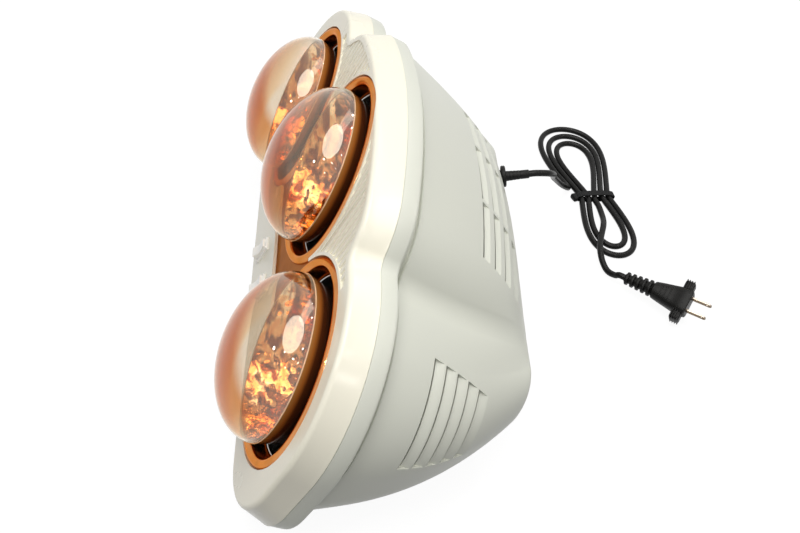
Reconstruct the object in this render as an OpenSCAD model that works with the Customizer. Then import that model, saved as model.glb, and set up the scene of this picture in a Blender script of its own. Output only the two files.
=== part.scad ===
// Three-lamp bathroom heat lamp that leans back on a table, with its mains lead behind it.
// Lamp pieces are drawn with X along the lamp row, Y from the front face back and Z up the front face.

/* [Lamps] */
// Distance from the middle lamp to each outer lamp along the row
lamp_pitch = 149.3; // [146:0.1:156]
// Height of the middle lamp above the outer two
lamp_rise = 56.6; // [54:0.1:62]
// Diameter of each bulb
bulb_d = 125; // [118:1:127]
// Length of each bulb from its dome to its end contact
bulb_l = 181; // [178:1:184]
// Diameter of the screw cap on each bulb
cap_d = 26.4; // [25:0.1:28]
// Inside diameter of each copper ring
ring_bore = 140; // [139:0.5:142]
// Width of each copper ring
ring_w = 8; // [6:0.5:8.5]
// Height of each copper ring over its plate
ring_h = 4; // [2:0.5:6]

/* [Front frame] */
// Height of the arch top over the outer lamps' line
arch_top = 145.3; // [143:0.1:152]
// Radius of the round ends
end_r = 99.4; // [98:0.1:106]
// Height of the outer lamps' line over the flat lower edge
foot_drop = 97; // [95:0.5:104]
// Depth of the cream frame from its face to the seam
frame_depth = 21; // [18:1:26]
// Draft of the frame's side wall over its depth
frame_draft = 4; // [3:0.5:5]
// Rounding of the frame's front edge
edge_r = 4; // [2.5:0.5:5]
// Wall of the moulded pieces
wall = 2.8; // [2.2:0.1:3.4]
// Pitch of the ribs in the two shoulder panels
rib_pitch = 7.2; // [6:0.2:10]
// Depth of the shoulder panels under the front face
panel_depth = 1.8; // [1:0.2:2]

/* [Rear housing] */
// Room between the chassis and the flat back
back_room = 26; // [24:0.5:30]
// Width of the pale band in front of the groove
band_w = 13.5; // [10:0.5:18]
// Half width of the flat back
back_half_w = 157; // [152:1:164]
// Height of the back's top edge over the outer lamps' line
back_top = 51; // [48:0.5:56]
// Depth of the back's lower edge under the outer lamps' line
back_foot = 35; // [32:0.5:38]
// Number of louvre rows over the arch
louvre_rows = 4; // [2:1:4]
// Distance between louvre rows over the arch
louvre_pitch = 14.2; // [12:0.1:14.2]
// Number of louvres on each round end
end_louvres = 5; // [2:1:5]
// Distance between end louvres
end_louvre_pitch = 11.3; // [9:0.1:11.5]

/* [Switches] */
// Distance of each switch from the middle
switch_x = 22; // [16:1:40]
// Depth of the switch line under the outer lamps' line
switch_drop = 68; // [64:1:72]
// Width of a switch bezel
switch_w = 15; // [14:0.5:17]
// Height of a switch bezel
switch_h = 21; // [20:0.5:23]
// Angle between the two positions of a rocker
rocker_swing = 22; // [14:1:24]

/* [Mains lead] */
// Diameter of the mains lead
cord_d = 6; // [5:0.1:6.2]
// Distance between the blades of the plug
blade_gap = 12.7; // [11:0.1:16]
// Length of the plug's blades
blade_l = 18; // [15:0.5:21]

/* [Hidden] */
$fn = 48;
fit = 0.3;

// Lamp axes, left to right
lamps = [[-lamp_pitch, 0], [0, lamp_rise], [lamp_pitch, 0]];
ring_r = ring_bore / 2 + ring_w;
seam_y = frame_depth;
band_y = seam_y + band_w;

// Depths behind the face: the bulb's widest place, its dome, its cap, the chassis and the back
bulb_y = -8.1;
dome_y = -47.4;
dome_l = bulb_y - dome_y;
cap_l = 26;
cap_y = bulb_l + dome_y - cap_l;
holder_l = 44.4;
chassis_y = cap_y + holder_l;
body_depth = chassis_y + back_room;

// How far the tub's arch starts under the band's
tub_drop = 6.3;

// Where the mains lead leaves the housing's sloping back, and the tilt of its sleeve
exit_x = -82;
exit_y = body_depth - 7;
exit_tilt = 35.5;
exit_z = mix(arch_top - tub_drop - 10, back_top, arch_fall(share_at(exit_y))) - 1.1;
sleeve_l = 25;
sleeve_r = 3.9;

// The body leans back on its band and on the back's lower edge; its middle is over the origin
band_inset = 0.6;
lean = atan((foot_drop - band_inset - back_foot) / (body_depth - band_y));
front_reach = bulb_y * cos(lean) - sqrt(pow(dome_l * cos(lean), 2) + pow(bulb_d / 2 * sin(lean), 2));
back_reach = exit_y * cos(lean) + exit_z * sin(lean) + sleeve_l * cos(exit_tilt - lean)
    + sleeve_r * sin(exit_tilt - lean);
shift_y = -(front_reach + back_reach) / 2;
shift_z = band_y * sin(lean) + (foot_drop - band_inset) * cos(lean);

// Turns the upright lamp to the way it leans on the table
module place() translate([0, shift_y, shift_z]) rotate([-lean, 0, 0]) children();

// Turns a shape drawn about Z so that it points back from the lamp's face
module backwards() rotate([-90, 0, 0]) children();

// Extrudes a shape drawn in X and Z from depth y0 to depth y1
module slab(y0, y1) translate([0, y1, 0]) rotate([90, 0, 0]) linear_extrude(y1 - y0) children();

function mix(a, b, t) = a * (1 - t) + b * t;
function arc(c, r, a0, a1, n) = [for (i = [0:n - 1]) let (t = mix(a0, a1, i / n)) c + r * [cos(t), sin(t)]];
function line(a, b, n) = [for (i = [0:n - 1]) mix(a, b, i / n)];
function mirrored(half) = let (n = len(half)) concat(half, [for (i = [n - 2:-1:1]) [-half[i][0], half[i][1]]]);

// Points along each stretch of a half outline: arch, shoulder, cusp, lobe, side, corner, foot
steps = [10, 6, 4, 13, 1, 6, 3];

arch_r = 340;
shoulder_a = 73.5;
function shoulder_at(top, r) = [0, top - arch_r] + (arch_r - r) * [cos(shoulder_a), sin(shoulder_a)];
// Half outline of the lobed front, from the arch top round to the middle of the foot, moved in by d
function lobed_half(top, shoulder_r, cusp_r, lobe_r, corner_r, foot, d) =
    let (shoulder_c = shoulder_at(top, shoulder_r),
        lobe_c = [lamp_pitch, 0],
        span = norm(lobe_c - shoulder_c),
        e = (lobe_c - shoulder_c) / span,
        r1 = shoulder_r + cusp_r,
        r2 = lobe_r + cusp_r,
        x = (r1 * r1 - r2 * r2 + span * span) / (2 * span),
        cusp_c = shoulder_c + e * x + [-e[1], e[0]] * sqrt(max(0, r1 * r1 - x * x)),
        a1 = atan2(cusp_c[1] - shoulder_c[1], cusp_c[0] - shoulder_c[0]),
        a2 = atan2(cusp_c[1] - lobe_c[1], cusp_c[0] - lobe_c[0]),
        corner_c = [lamp_pitch + lobe_r - corner_r, corner_r - foot])
    concat(arc([0, top - arch_r], arch_r - d, 90, shoulder_a, steps[0]),
        arc(shoulder_c, shoulder_r - d, shoulder_a, a1, steps[1]),
        arc(cusp_c, cusp_r + d, a1 + 180, a2 + 180, steps[2]),
        arc(lobe_c, lobe_r - d, a2, 0, steps[3]),
        line([lamp_pitch + lobe_r - d, 0], [lamp_pitch + lobe_r - d, corner_c[1]], steps[4]),
        arc(corner_c, corner_r - d, 0, -90, steps[5]),
        line([corner_c[0], d - foot], [0, d - foot], steps[6]),
        [[0, d - foot]]);

corner_r = 61;
face_drop = 8.3;
shoulder_r = 56;
// Outline of the frame at its face, at its seam, and of the band and housing behind it
function face_half(d) = lobed_half(arch_top - face_drop, shoulder_r - 6, 16, end_r - frame_draft,
    corner_r + frame_draft, foot_drop - 3, d);
function seam_half(d) = lobed_half(arch_top, shoulder_r, 14, end_r, corner_r, foot_drop, d);
function tub_half(d) = lobed_half(arch_top - tub_drop, shoulder_r - 4, 17, end_r - 10.4, corner_r, foot_drop - 2, d);

// Half outline of the back, with as many points as the lobed one
back_corner_r = 30;
back_foot_r = 52;
function back_half(d) =
    let (w = back_half_w, t = back_top - d, r = back_corner_r, f = back_foot_r, k = [0.38, 0.6, 0.71])
    concat(line([0, t], [w * k[0], t], steps[0]),
        line([w * k[0], t], [w * k[1], t], steps[1]),
        line([w * k[1], t], [w * k[2], t], steps[2]),
        line([w * k[2], t], [w - r, t], 4),
        arc([w - r, back_top - r], r - d, 90, 0, steps[3] - 4),
        line([w - d, back_top - r], [w - d, f - back_foot], steps[4]),
        arc([w - f, f - back_foot], f - d, 0, -90, steps[5]),
        line([w - f, d - back_foot], [0, d - back_foot], steps[6]),
        [[0, d - back_foot]]);

// How far the housing has gone from the lobed outline to the back's at share u of its depth
function arch_fall(u) = 0.62 * u + 0.38 * pow(u, 6);
function lobe_fall(u) = pow(u, 1.1);
function end_draw(u) = 0.07 * u + 0.93 * u * u;
function foot_rise(u) = sqrt(u);

lobe_at = steps[0] + steps[1] + steps[2];
side_at = lobe_at + steps[3];
// Share by which point i of the half outline has fallen at share u of the depth
function fall(i, u) =
    let (a = arch_fall(u), l = lobe_fall(u), f = foot_rise(u), top = lobe_at + 4, low = side_at + steps[4] + 3)
    i < lobe_at - steps[2] ? a
    : i < top ? mix(a, l, (i - lobe_at + steps[2]) / (steps[2] + 4))
    : i < side_at ? mix(l, (l + f) / 2, (i - top) / (side_at - top))
    : i < low ? mix((l + f) / 2, f, (i - side_at) / (low - side_at))
    : f;
function tub_ring(u, d) =
    let (front = tub_half(d), back = back_half(d), e = end_draw(u))
    [for (i = [0:len(front) - 1]) [mix(front[i][0], back[i][0], e), mix(front[i][1], back[i][1], fall(i, u))]];
function depth_at(u) = mix(band_y, body_depth, u);
function share_at(y) = (y - band_y) / (body_depth - band_y);

// Closes a loop of rings, each [depth, half outline], into a shell that is open front and back
module shell(rings) {
    n = len(mirrored(rings[0][1]));
    m = len(rings);
    points = [for (r = rings) for (p = mirrored(r[1])) [p[0], r[0], p[1]]];
    faces = [for (j = [0:m - 1]) for (i = [0:n - 1])
        let (a = j * n + i, b = j * n + (i + 1) % n, c = ((j + 1) % m) * n + (i + 1) % n, d = ((j + 1) % m) * n + i)
        each [[a, c, b], [a, d, c]]];
    polyhedron(points = points, faces = faces, convexity = 10);
}

// Outline of the copper plate between the rings, moved out by d
plate_y = wall;
plate_t = 2;
plate_foot = 42.5;
module plate_window(d) {
    for (c = lamps) translate(c) circle(ring_r + d, $fn = 96);
    half = lamp_pitch - sqrt(pow(ring_r, 2) - pow(plate_foot, 2));
    translate([-half - d, -plate_foot - d]) square([2 * half + 2 * d, plate_foot + lamp_rise / 2 + 2 * d]);
}

// Outline of one ribbed shoulder panel
panel_inset = 7;
module panel_window() {
    difference() {
        intersection() {
            polygon(mirrored(face_half(panel_inset)));
            translate([lamp_pitch * 0.28, 30]) square([lamp_pitch * 0.72, 120]);
        }
        for (c = lamps) translate(c) circle(ring_r + 3, $fn = 96);
    }
}

// Screw places that join the frame and the housing, as [x, z] on the right half
screw_r = 1.5;
boss_r = 4.6;
boss_in = wall + boss_r + frame_draft + 1.1;
screw_spots = [[60, boss_in - foot_drop],
    [lamp_pitch, 0] + (end_r - boss_in) * [cos(44), sin(44)],
    [lamp_pitch + end_r - corner_r, corner_r - foot_drop] + (corner_r - boss_in) * [cos(45), -sin(45)]];
module at_frame_screws() for (s = [-1, 1]) for (p = screw_spots) translate([s * p[0], 0, p[1]]) children();

module front_frame() color("#efe9d6") place() {
    difference() {
        union() {
            shell([[0, face_half(edge_r)], [edge_r * 0.13, face_half(edge_r / 2)],
                [edge_r / 2, face_half(edge_r * 0.13)], [edge_r, face_half(0)],
                [seam_y, seam_half(0)], [seam_y, seam_half(wall)],
                [edge_r, face_half(wall)], [wall, face_half(edge_r)]]);
            slab(0, wall) polygon(mirrored(face_half(edge_r - 0.1)));
            at_frame_screws() translate([0, wall - 0.2, 0]) backwards() cylinder(r = boss_r, h = seam_y - wall + 0.2);
        }
        slab(-1, plate_y + plate_t + fit) plate_window(fit);
        for (s = [0, 1]) mirror([s, 0, 0]) slab(-1, panel_depth) panel_window();
        for (s = [-1, 1]) translate([s * switch_x, 0, -switch_drop])
            slab(-1, wall + 1) square([switch_body_w + 2 * fit, switch_body_h + 2 * fit], center = true);
        at_frame_screws() translate([0, seam_y - 13, 0]) backwards() cylinder(r = screw_r + 0.1, h = 14);
    }
    for (s = [0, 1]) mirror([s, 0, 0]) slab(panel_depth - 1.2, panel_depth + 0.1) intersection() {
        panel_window();
        for (x = [rib_pitch * 6:rib_pitch:lamp_pitch]) translate([x, 0]) square([rib_pitch / 2, 150]);
    }
}

module bezel_plate() color("#b8743c") place() {
    difference() {
        slab(plate_y, plate_y + plate_t) intersection() {
            plate_window(2.5);
            polygon(mirrored(face_half(edge_r + 2 * fit)));
        }
        for (c = lamps) translate([c[0], -1, c[1]]) backwards() cylinder(r = ring_r - ring_w / 2, h = 20, $fn = 96);
    }
    inner = ring_bore / 2;
    crest = [for (i = [0:8]) let (a = 180 * i / 8) [inner + ring_w / 2 + ring_w / 2 * cos(a), 3 - ring_h * sin(a)]];
    for (c = lamps) translate([c[0], 0, c[1]]) backwards() rotate_extrude($fn = 96)
        polygon(concat(crest, [[inner, 16], [inner + 1.6, 16], [inner + 2.2, plate_y + plate_t],
            [ring_r, plate_y + plate_t]]));
}

reflector_y = 16;
module reflector(c) color("#b9bcbe") place() {
    inner = ring_bore / 2;
    translate([c[0], 0, c[1]]) backwards() rotate_extrude($fn = 72)
        polygon([[inner + 2.5, reflector_y + 0.2], [inner + 2.5, reflector_y + 1], [inner - 1, reflector_y + 1],
            [inner - 6.2, reflector_y + 42], [inner - 7, reflector_y + 42], [inner - 1.8, reflector_y],
            [inner - 2, reflector_y - 1.6], [inner - 1.4, reflector_y - 2], [inner - 0.8, reflector_y - 1.6],
            [inner - 0.9, reflector_y + 0.2]]);
}

// Bulb: half ellipsoid front, paraboloid back and neck, blown as a thin shell
neck_r = 19.5;
neck_y = cap_y - 11.6;
glass = 1.2;
stem_r = 12;
function bulb_side(d) = concat(
    [for (i = [0:12]) let (a = 90 * i / 12) [(bulb_d / 2 - d) * sin(a), bulb_y - (dome_l - d) * cos(a)]],
    [for (i = [1:14]) let (t = i / 14) [sqrt(mix(pow(bulb_d / 2, 2), neck_r * neck_r, t)) - d, mix(bulb_y, neck_y, t)]]);
module bulb(c) color("#d9a07a") place() translate([c[0], 0, c[1]]) backwards() rotate_extrude($fn = 72) {
    outer = bulb_side(0);
    inner = bulb_side(glass);
    polygon(concat(outer, [[neck_r, cap_y - 6], [stem_r, cap_y - 0.4], [0, cap_y - 0.4], [0, cap_y - 0.4 - glass],
        [stem_r - glass, cap_y - 0.4 - glass], [neck_r - glass, cap_y - 6 - glass]],
        [for (i = [len(inner) - 1:-1:0]) inner[i]]));
}

// Screw cap with its thread as rings, an insulator and the end contact
thread_pitch = 3.62;
module bulb_cap(c) color("#c9b27a") place() translate([c[0], 0, c[1]]) backwards() rotate_extrude($fn = 48) {
    r = cap_d / 2;
    polygon(concat([[0, cap_y], [r + 0.6, cap_y], [r + 0.6, cap_y + 1.4], [r - 0.9, cap_y + 2.2]],
        [for (i = [0:4]) each [[r - 0.9, cap_y + 2.4 + i * thread_pitch], [r, cap_y + 3.8 + i * thread_pitch],
            [r - 0.9, cap_y + 5.2 + i * thread_pitch]]],
        [[r - 2, cap_y + 21.5], [6, cap_y + cap_l - 1.5], [4.5, cap_y + cap_l], [0, cap_y + cap_l]]));
}

// Glass stem, two support wires and the tungsten coil inside each bulb
module filament(c) color("#c8c8c8") place() translate([c[0], 0, c[1]]) {
    stem_y = cap_y - 45.6;
    wire_l = 36;
    coil_l = 30;
    translate([0, stem_y, 0]) backwards() cylinder(r1 = 3, r2 = stem_r - glass - 0.4, h = cap_y - stem_y - glass - 0.7);
    for (s = [-1, 1]) translate([s * 1.6, stem_y + 1, 0]) rotate([90, 0, s * 20]) cylinder(r = 0.6, h = wire_l);
    translate([-coil_l / 2, stem_y - 32.6, 0]) rotate([0, 90, 0]) cylinder(r = 1.2, h = coil_l);
}

// Ceramic holder round the cap, with a base flange on the chassis
chassis_t = 1.5;
holder_front = cap_y - 1.4;
holder_r = 21;
flange_r = 22;
hub_r = 4;
screw_out = 17;
module lampholder(c) color("#e9e4da") place() difference() {
    translate([c[0], 0, c[1]]) backwards() rotate_extrude($fn = 64) {
        r = cap_d / 2 + 0.6 + fit;
        polygon([[r, holder_front], [holder_r, holder_front], [holder_r + 0.5, holder_front + 2],
            [holder_r - 0.5, holder_front + 18], [holder_r - 0.5, chassis_y - 6], [flange_r, chassis_y - 5],
            [flange_r, chassis_y], [hub_r, chassis_y], [hub_r, cap_y + cap_l + 4], [r, cap_y + cap_l + 4]]);
    }
    for (s = [-1, 1]) translate([c[0] + s * screw_out, chassis_y - 8, c[1]])
        backwards() cylinder(r = screw_r + 0.1, h = 9);
}

// Centre contact with its rivet in each holder
module holder_contacts() color("#c79a3e") place() for (c = lamps) translate([c[0], 0, c[1]]) backwards() {
    translate([0, 0, cap_y + cap_l + fit]) cylinder(r = 5, h = 1);
    translate([0, 0, cap_y + cap_l + 1]) cylinder(r = hub_r - 0.6, h = holder_l - cap_l + 3);
}

// Folded steel chassis that carries the three holders
leg_x = 118;
foot_x = leg_x - 12;
head_h = 1.8;
back_plate_t = 1.5;
plate_back_y = body_depth - back_plate_t - head_h - 0.1;
module chassis_plate() color("#a9adb0") place() difference() {
    union() {
        slab(chassis_y, chassis_y + chassis_t) {
            translate([-lamp_pitch, -14]) square([2 * lamp_pitch, 30]);
            for (c = lamps) translate(c) circle(flange_r + 0.4, $fn = 64);
            translate([-flange_r, 0]) square([2 * flange_r, lamp_rise]);
        }
        for (z = [-14, 16 - chassis_t]) translate([-leg_x, chassis_y, z])
            cube([2 * leg_x, plate_back_y - chassis_y, chassis_t]);
        for (s = [-1, 1]) translate([s * foot_x - 9, plate_back_y - chassis_t, -14]) cube([18, chassis_t, 30]);
    }
    for (c = lamps) {
        translate([c[0], chassis_y - 1, c[1]]) backwards() cylinder(r = 5, h = 4);
        for (s = [-1, 1]) translate([c[0] + s * screw_out, chassis_y - 1, c[1]])
            backwards() cylinder(r = screw_r + 0.2, h = 4);
    }
    for (s = [-1, 1]) translate([s * foot_x, plate_back_y - 3, 1]) backwards() cylinder(r = rivet_r + 0.2, h = 5);
}

// Slanted louvres: deep at the front edge with a narrow slit there, flush at the back edge
slit = 1.2;
louvre_y = 105.4;
louvre_w = 0.62 * louvre_pitch;
louvre_deep = 2.8;
louvre_half = 88;
rib_x = 34;
rib_w = 3.2;
arch_end = steps[0] + 3;
end_louvre_y = 74;
end_louvre_w = 0.88 * end_louvre_pitch;
end_louvre_deep = 4.2;
end_louvre_x = 175;
end_louvre_z = 20;
pad_t = 7;
function at_depth(y, d) = [y, tub_ring(share_at(y), d)];
// A solid between rings from point i0 to point i1 of their half outlines; points under 0 are on the left half
module strip(rings, i0, i1) {
    n = i1 - i0 + 1;
    m = len(rings);
    points = [for (r = rings) for (i = [i0:i1]) [sign(i + 0.5) * r[1][abs(i)][0], r[0], r[1][abs(i)][1]]];
    sides = [for (j = [0:m - 1]) for (i = [0:n - 2])
        let (a = j * n + i, b = a + 1, d = ((j + 1) % m) * n + i, c = d + 1) each [[a, c, b], [a, d, c]]];
    caps = [for (k = [1:m - 2]) each [[0, (k + 1) * n, k * n], [n - 1, (k + 1) * n - 1, (k + 2) * n - 1]]];
    polyhedron(points = points, faces = concat(sides, caps), convexity = 6);
}
module louvre(y, w, deep, i0, i1) strip([at_depth(y, -8), at_depth(y + w, -8), at_depth(y + w, 0),
    at_depth(y + slit, deep * (1 - slit / w)), at_depth(y + slit, pad_t + 3), at_depth(y, pad_t + 3)], i0, i1);
module arch_louvres() intersection() {
    for (i = [0:louvre_rows - 1]) louvre(louvre_y + i * louvre_pitch, louvre_w, louvre_deep, -arch_end, arch_end);
    difference() {
        translate([-louvre_half, 0, back_top]) cube([2 * louvre_half, body_depth, arch_top]);
        for (s = [-1, 1]) translate([s * rib_x - rib_w / 2, 0, 0]) cube([rib_w, body_depth, 2 * arch_top]);
    }
}
// The part of each round end above and outside a corner, wider by d
module end_corner(d) for (s = [0, 1]) mirror([s, 0, 0])
    translate([end_louvre_x - d, 0, end_louvre_z - d]) cube([lamp_pitch, body_depth, lamp_pitch]);
module end_louvre_cuts() intersection() {
    for (s = [0, 1]) mirror([s, 0, 0]) for (i = [0:end_louvres - 1])
        louvre(end_louvre_y + i * end_louvre_pitch, end_louvre_w, end_louvre_deep, lobe_at, side_at);
    end_corner(0);
}
module end_pads() intersection() {
    y0 = end_louvre_y - 2.5;
    y1 = end_louvre_y + end_louvres * end_louvre_pitch + 2;
    ym = (y0 + y1) / 2;
    for (s = [0, 1]) mirror([s, 0, 0]) strip([at_depth(y0, wall / 2), at_depth(ym, wall / 2), at_depth(y1, wall / 2),
        at_depth(y1, pad_t), at_depth(ym, pad_t), at_depth(y0, pad_t)], lobe_at, side_at);
    end_corner(3);
}

ledge = 4;
back_screw_spots = [[50, back_top - 11], [112, back_top - 11], [50, 11 - back_foot], [95, 11 - back_foot]];
module at_back_screws() for (s = [-1, 1]) for (p = back_screw_spots) translate([s * p[0], 0, p[1]]) children();
levels = [0.004, 0.03, 0.08, 0.16, 0.26, 0.37, 0.48, 0.59, 0.7, 0.8, 0.88, 0.94, 0.98];
inner_levels = [0.965, 0.9, 0.8, 0.68, 0.54, 0.4, 0.26, 0.14, 0.05, 0.01];
// In-plane thickness of the sloping wall at share u of the depth
function wall_in(u) = wall * (1 + 0.8 * u);
module at_exit() translate([exit_x, exit_y, exit_z]) rotate([exit_tilt, 0, 0]) children();
module rear_housing() color("#cfd2ca") place() difference() {
    union() {
        shell(concat([[seam_y, seam_half(0.3)], [band_y - 0.8, seam_half(band_inset)], [band_y, seam_half(1.4)],
            [band_y, tub_half(1.2)], [band_y + 2, tub_half(1.2)]],
            [for (u = levels) if (depth_at(u) > band_y + 2.2) [depth_at(u), tub_ring(u, 0)]],
            [[body_depth - 0.8, tub_ring(0.995, 0.4)], [body_depth, tub_ring(1, 2)],
            [body_depth, tub_ring(1, wall * 1.8)], [plate_back_y, tub_ring(1, wall * 1.8)],
            [plate_back_y, tub_ring(1, wall * 1.8 + ledge)], [plate_back_y - 2.5, tub_ring(0.965, wall * 1.8 + ledge)]],
            [for (u = inner_levels) [depth_at(u), tub_ring(u, wall_in(u))]],
            [[band_y - 3, seam_half(1.4 + wall)], [seam_y, seam_half(wall + 0.6)]]));
        at_frame_screws() translate([0, seam_y, 0]) backwards() cylinder(r = boss_in - wall + 0.2, h = 4);
        at_back_screws() translate([0, plate_back_y - 10, 0]) backwards() cylinder(r = 4.2, h = 10);
        at_exit() translate([0, -6, 0]) backwards() cylinder(r = 9, h = 5.4);
        end_pads();
    }
    arch_louvres();
    end_louvre_cuts();
    at_frame_screws() translate([0, seam_y - 1, 0]) backwards() cylinder(r = screw_r + 0.3, h = 6);
    at_back_screws() translate([0, plate_back_y - 9, 0]) backwards() cylinder(r = screw_r + 0.1, h = 10);
    at_exit() translate([0, -20, 0]) backwards() cylinder(r = grommet_r + 0.1, h = 40);
}

key_x = 100;
key_z = 8;
key_r = 4.5;
key_slot_r = 2.2;
module back_plate() color("#c8cbc8") place() difference() {
    slab(plate_back_y, plate_back_y + back_plate_t) polygon(mirrored(back_half(wall * 1.8 + fit + 0.2)));
    for (s = [-1, 1]) translate([s * key_x, 0, key_z]) slab(plate_back_y - 1, body_depth + 1) {
        circle(key_r);
        translate([-key_slot_r, 0]) square([2 * key_slot_r, 11]);
        translate([0, 11]) circle(key_slot_r);
    }
    at_back_screws() translate([0, plate_back_y - 1, 0]) backwards() cylinder(r = screw_r + 0.3, h = 5);
    for (s = [-1, 1]) translate([s * foot_x, plate_back_y - 3, 1]) backwards() cylinder(r = rivet_r + 0.2, h = 8);
}

// Rocker switch: bezel on the face, hollow body behind it, rocker on a pivot along X
switch_body_w = switch_w - 1.6;
switch_body_h = switch_h - 1.6;
bezel_h = 2;
rocker_w = switch_w - 4.6;
rocker_reach = switch_h / 2 - 2.2;
pivot_y = 1;
pivot_r = 1.2;
rocker_gap = 0.25;
module switch_body(x) color("#e8e8e2") place() translate([x, 0, -switch_drop]) difference() {
    union() {
        slab(-bezel_h, 0) square([switch_w, switch_h], center = true);
        slab(0, 15) square([switch_body_w, switch_body_h], center = true);
    }
    slab(-bezel_h - 1, 11) square([rocker_w + 2 * rocker_gap, 2 * rocker_reach + 1.2], center = true);
    translate([-switch_w, pivot_y, 0]) rotate([0, 90, 0]) cylinder(r = pivot_r + 0.05, h = 2 * switch_w);
}
// The rocker is drawn in the middle of its swing and set to its off position
module rocker(x) color("#f7f6f0") place() translate([x, pivot_y, -switch_drop]) rotate([-rocker_swing / 2, 0, 0]) {
    reach = rocker_reach;
    translate([-rocker_w / 2, 0, 0]) rotate([90, 0, 90]) linear_extrude(rocker_w)
        polygon(concat([[-5.4, 0], [-7.2, 0.7 - reach], [-6.6, 0.2 - reach], [0, -reach]],
            arc([0, 0], reach, 270, 450, 10), [[0, reach], [-6.6, reach - 0.2], [-7.2, reach - 0.7]]));
    translate([-rocker_w / 2 - rocker_gap - 0.9, 0, 0]) rotate([0, 90, 0])
        cylinder(r = pivot_r, h = rocker_w + 2 * rocker_gap + 1.8);
}

// Terminal block on the chassis, with one brass screw head a pole
block_x = -62;
block_z = 18.4;
module terminal_block() color("#f0ede2") place() difference() {
    translate([block_x - 18, chassis_y - 14.3, block_z - 7]) cube([36, 14, 17]);
    for (i = [-1:1]) translate([block_x + i * 11, chassis_y - 15, block_z + 5]) backwards() cylinder(r = 2.6, h = 6);
    for (i = [-1:1]) translate([block_x + i * 11, chassis_y - 7, block_z - 8]) cylinder(r = 1.6, h = 20);
}
module cord_clamp() color("#d8d8d2") place() translate([block_x, chassis_y + chassis_t + 0.2, 16.2]) difference() {
    translate([-14, 0, 0]) cube([28, 7, 8]);
    translate([0, 3.5, -1]) cylinder(r = cord_d / 2 + 0.2, h = 10);
    for (s = [-1, 1]) translate([s * 10, -1, 4]) backwards() cylinder(r = screw_r + 0.1, h = 9);
}

// Sweeps a round tube along points, with its ends square to the first and last stretch
function unit(v) = v / norm(v);
function tangent(p, i) = unit(p[min(i + 1, len(p) - 1)] - p[max(i - 1, 0)]);
function side_of(t) = abs(t[2]) > 0.97 ? unit(cross(t, [0, 1, 0])) : unit(cross(t, [0, 0, 1]));
module tube(p, r, sides) {
    n = len(p);
    rings = [for (i = [0:n - 1]) let (t = tangent(p, i), s = side_of(t), u = cross(s, t))
        for (k = [0:sides - 1]) p[i] + r * (cos(360 * (k + 0.5) / sides) * s + sin(360 * (k + 0.5) / sides) * u)];
    walls = [for (i = [0:n - 2]) for (k = [0:sides - 1])
        let (a = i * sides + k, b = i * sides + (k + 1) % sides, c = b + sides, d = a + sides) each [[a, b, c], [a, c, d]]];
    caps = concat([for (k = [1:sides - 2]) [0, k + 1, k]],
        [for (k = [1:sides - 2]) [(n - 1) * sides, (n - 1) * sides + k, (n - 1) * sides + k + 1]]);
    polyhedron(points = rings, faces = concat(walls, caps), convexity = 8);
}

// Leads inside the body, from the block to the holders and the switches
lead_r = 1.3;
lead_routes = [
    [[block_x - 11, 145, 22], [block_x - 11, 145, 34], [-86, 140, 36], [-110, 132, 28], [-128, 128, 16]],
    [[block_x, 145, 22], [block_x, 145, 36], [-50, 138, 46], [-36, 130, 52], [-24, 128, 54]],
    [[block_x + 11, 145, 22], [block_x + 11, 145, 34], [-30, 146, 26], [20, 146, 22], [80, 142, 20],
        [112, 134, 14], [127, 128, 8]],
    [[block_x - 11, 145, 18], [block_x - 11, 143, 4], [-60, 110, -18], [-52, 80, -34], [-40, 50, -52], [-22, 24, -64]],
    [[block_x, 145, 18], [block_x, 143, 4], [-34, 110, -20], [0, 80, -36], [14, 50, -54], [22, 24, -64]]];
module inner_leads() color("#7c3b2c") place() {
    for (route = lead_routes) tube(route, lead_r, 6);
    for (s = [-1, 1]) for (z = [-5, 0, 5]) translate([s * switch_x - 2.4, 15, z - switch_drop]) cube([4.8, 7, 0.8]);
}

// Fasteners: a pan head and a shank
head_r = 2.9;
rivet_r = 2;
module screw(y, l) translate([0, y, 0]) backwards() {
    cylinder(r = screw_r, h = l);
    translate([0, 0, l]) cylinder(r = head_r, h = head_h);
}
module frame_screws() color("#b8bcc0") place() at_frame_screws() screw(seam_y - 10, 14);
module back_screws() color("#b8bcc0") place() at_back_screws() screw(plate_back_y - 8, 8 + back_plate_t);
module chassis_screws() color("#b8bcc0") place() {
    for (c = lamps) for (s = [-1, 1]) translate([c[0] + s * screw_out, 0, c[1]])
        screw(chassis_y - 7, 7 + chassis_t);
    for (s = [-1, 1]) translate([s * foot_x, 0, 1]) {
        translate([0, plate_back_y - chassis_t - 2.4, 0]) backwards() cylinder(r = 3.4, h = 2.4);
        translate([0, plate_back_y - chassis_t, 0]) backwards() cylinder(r = rivet_r, h = chassis_t + back_plate_t);
    }
}

// Grommet in the housing's sloping back, and the tapered sleeve that guards the lead
grommet_r = 6;
module cord_grommet() color("#26272a") place() at_exit() backwards() difference() {
    union() {
        translate([0, 0, -7.5]) cylinder(r = grommet_r, h = 8);
        translate([0, 0, 0.1]) cylinder(r = 8.5, h = 2.4);
        translate([0, 0, -8.6]) cylinder(r = 7.2, h = 2);
        for (i = [0:4]) translate([0, 0, 2.4 + i * 4.4]) cylinder(r1 = 5.6 - 0.35 * i, r2 = 5.3 - 0.35 * i, h = 3);
        translate([0, 0, 2]) cylinder(r1 = 4.6, r2 = sleeve_r, h = sleeve_l - 2);
    }
    translate([0, 0, -10]) cylinder(r = cord_d / 2 + 0.05, h = 10.2 + sleeve_l - 6);
}

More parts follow.
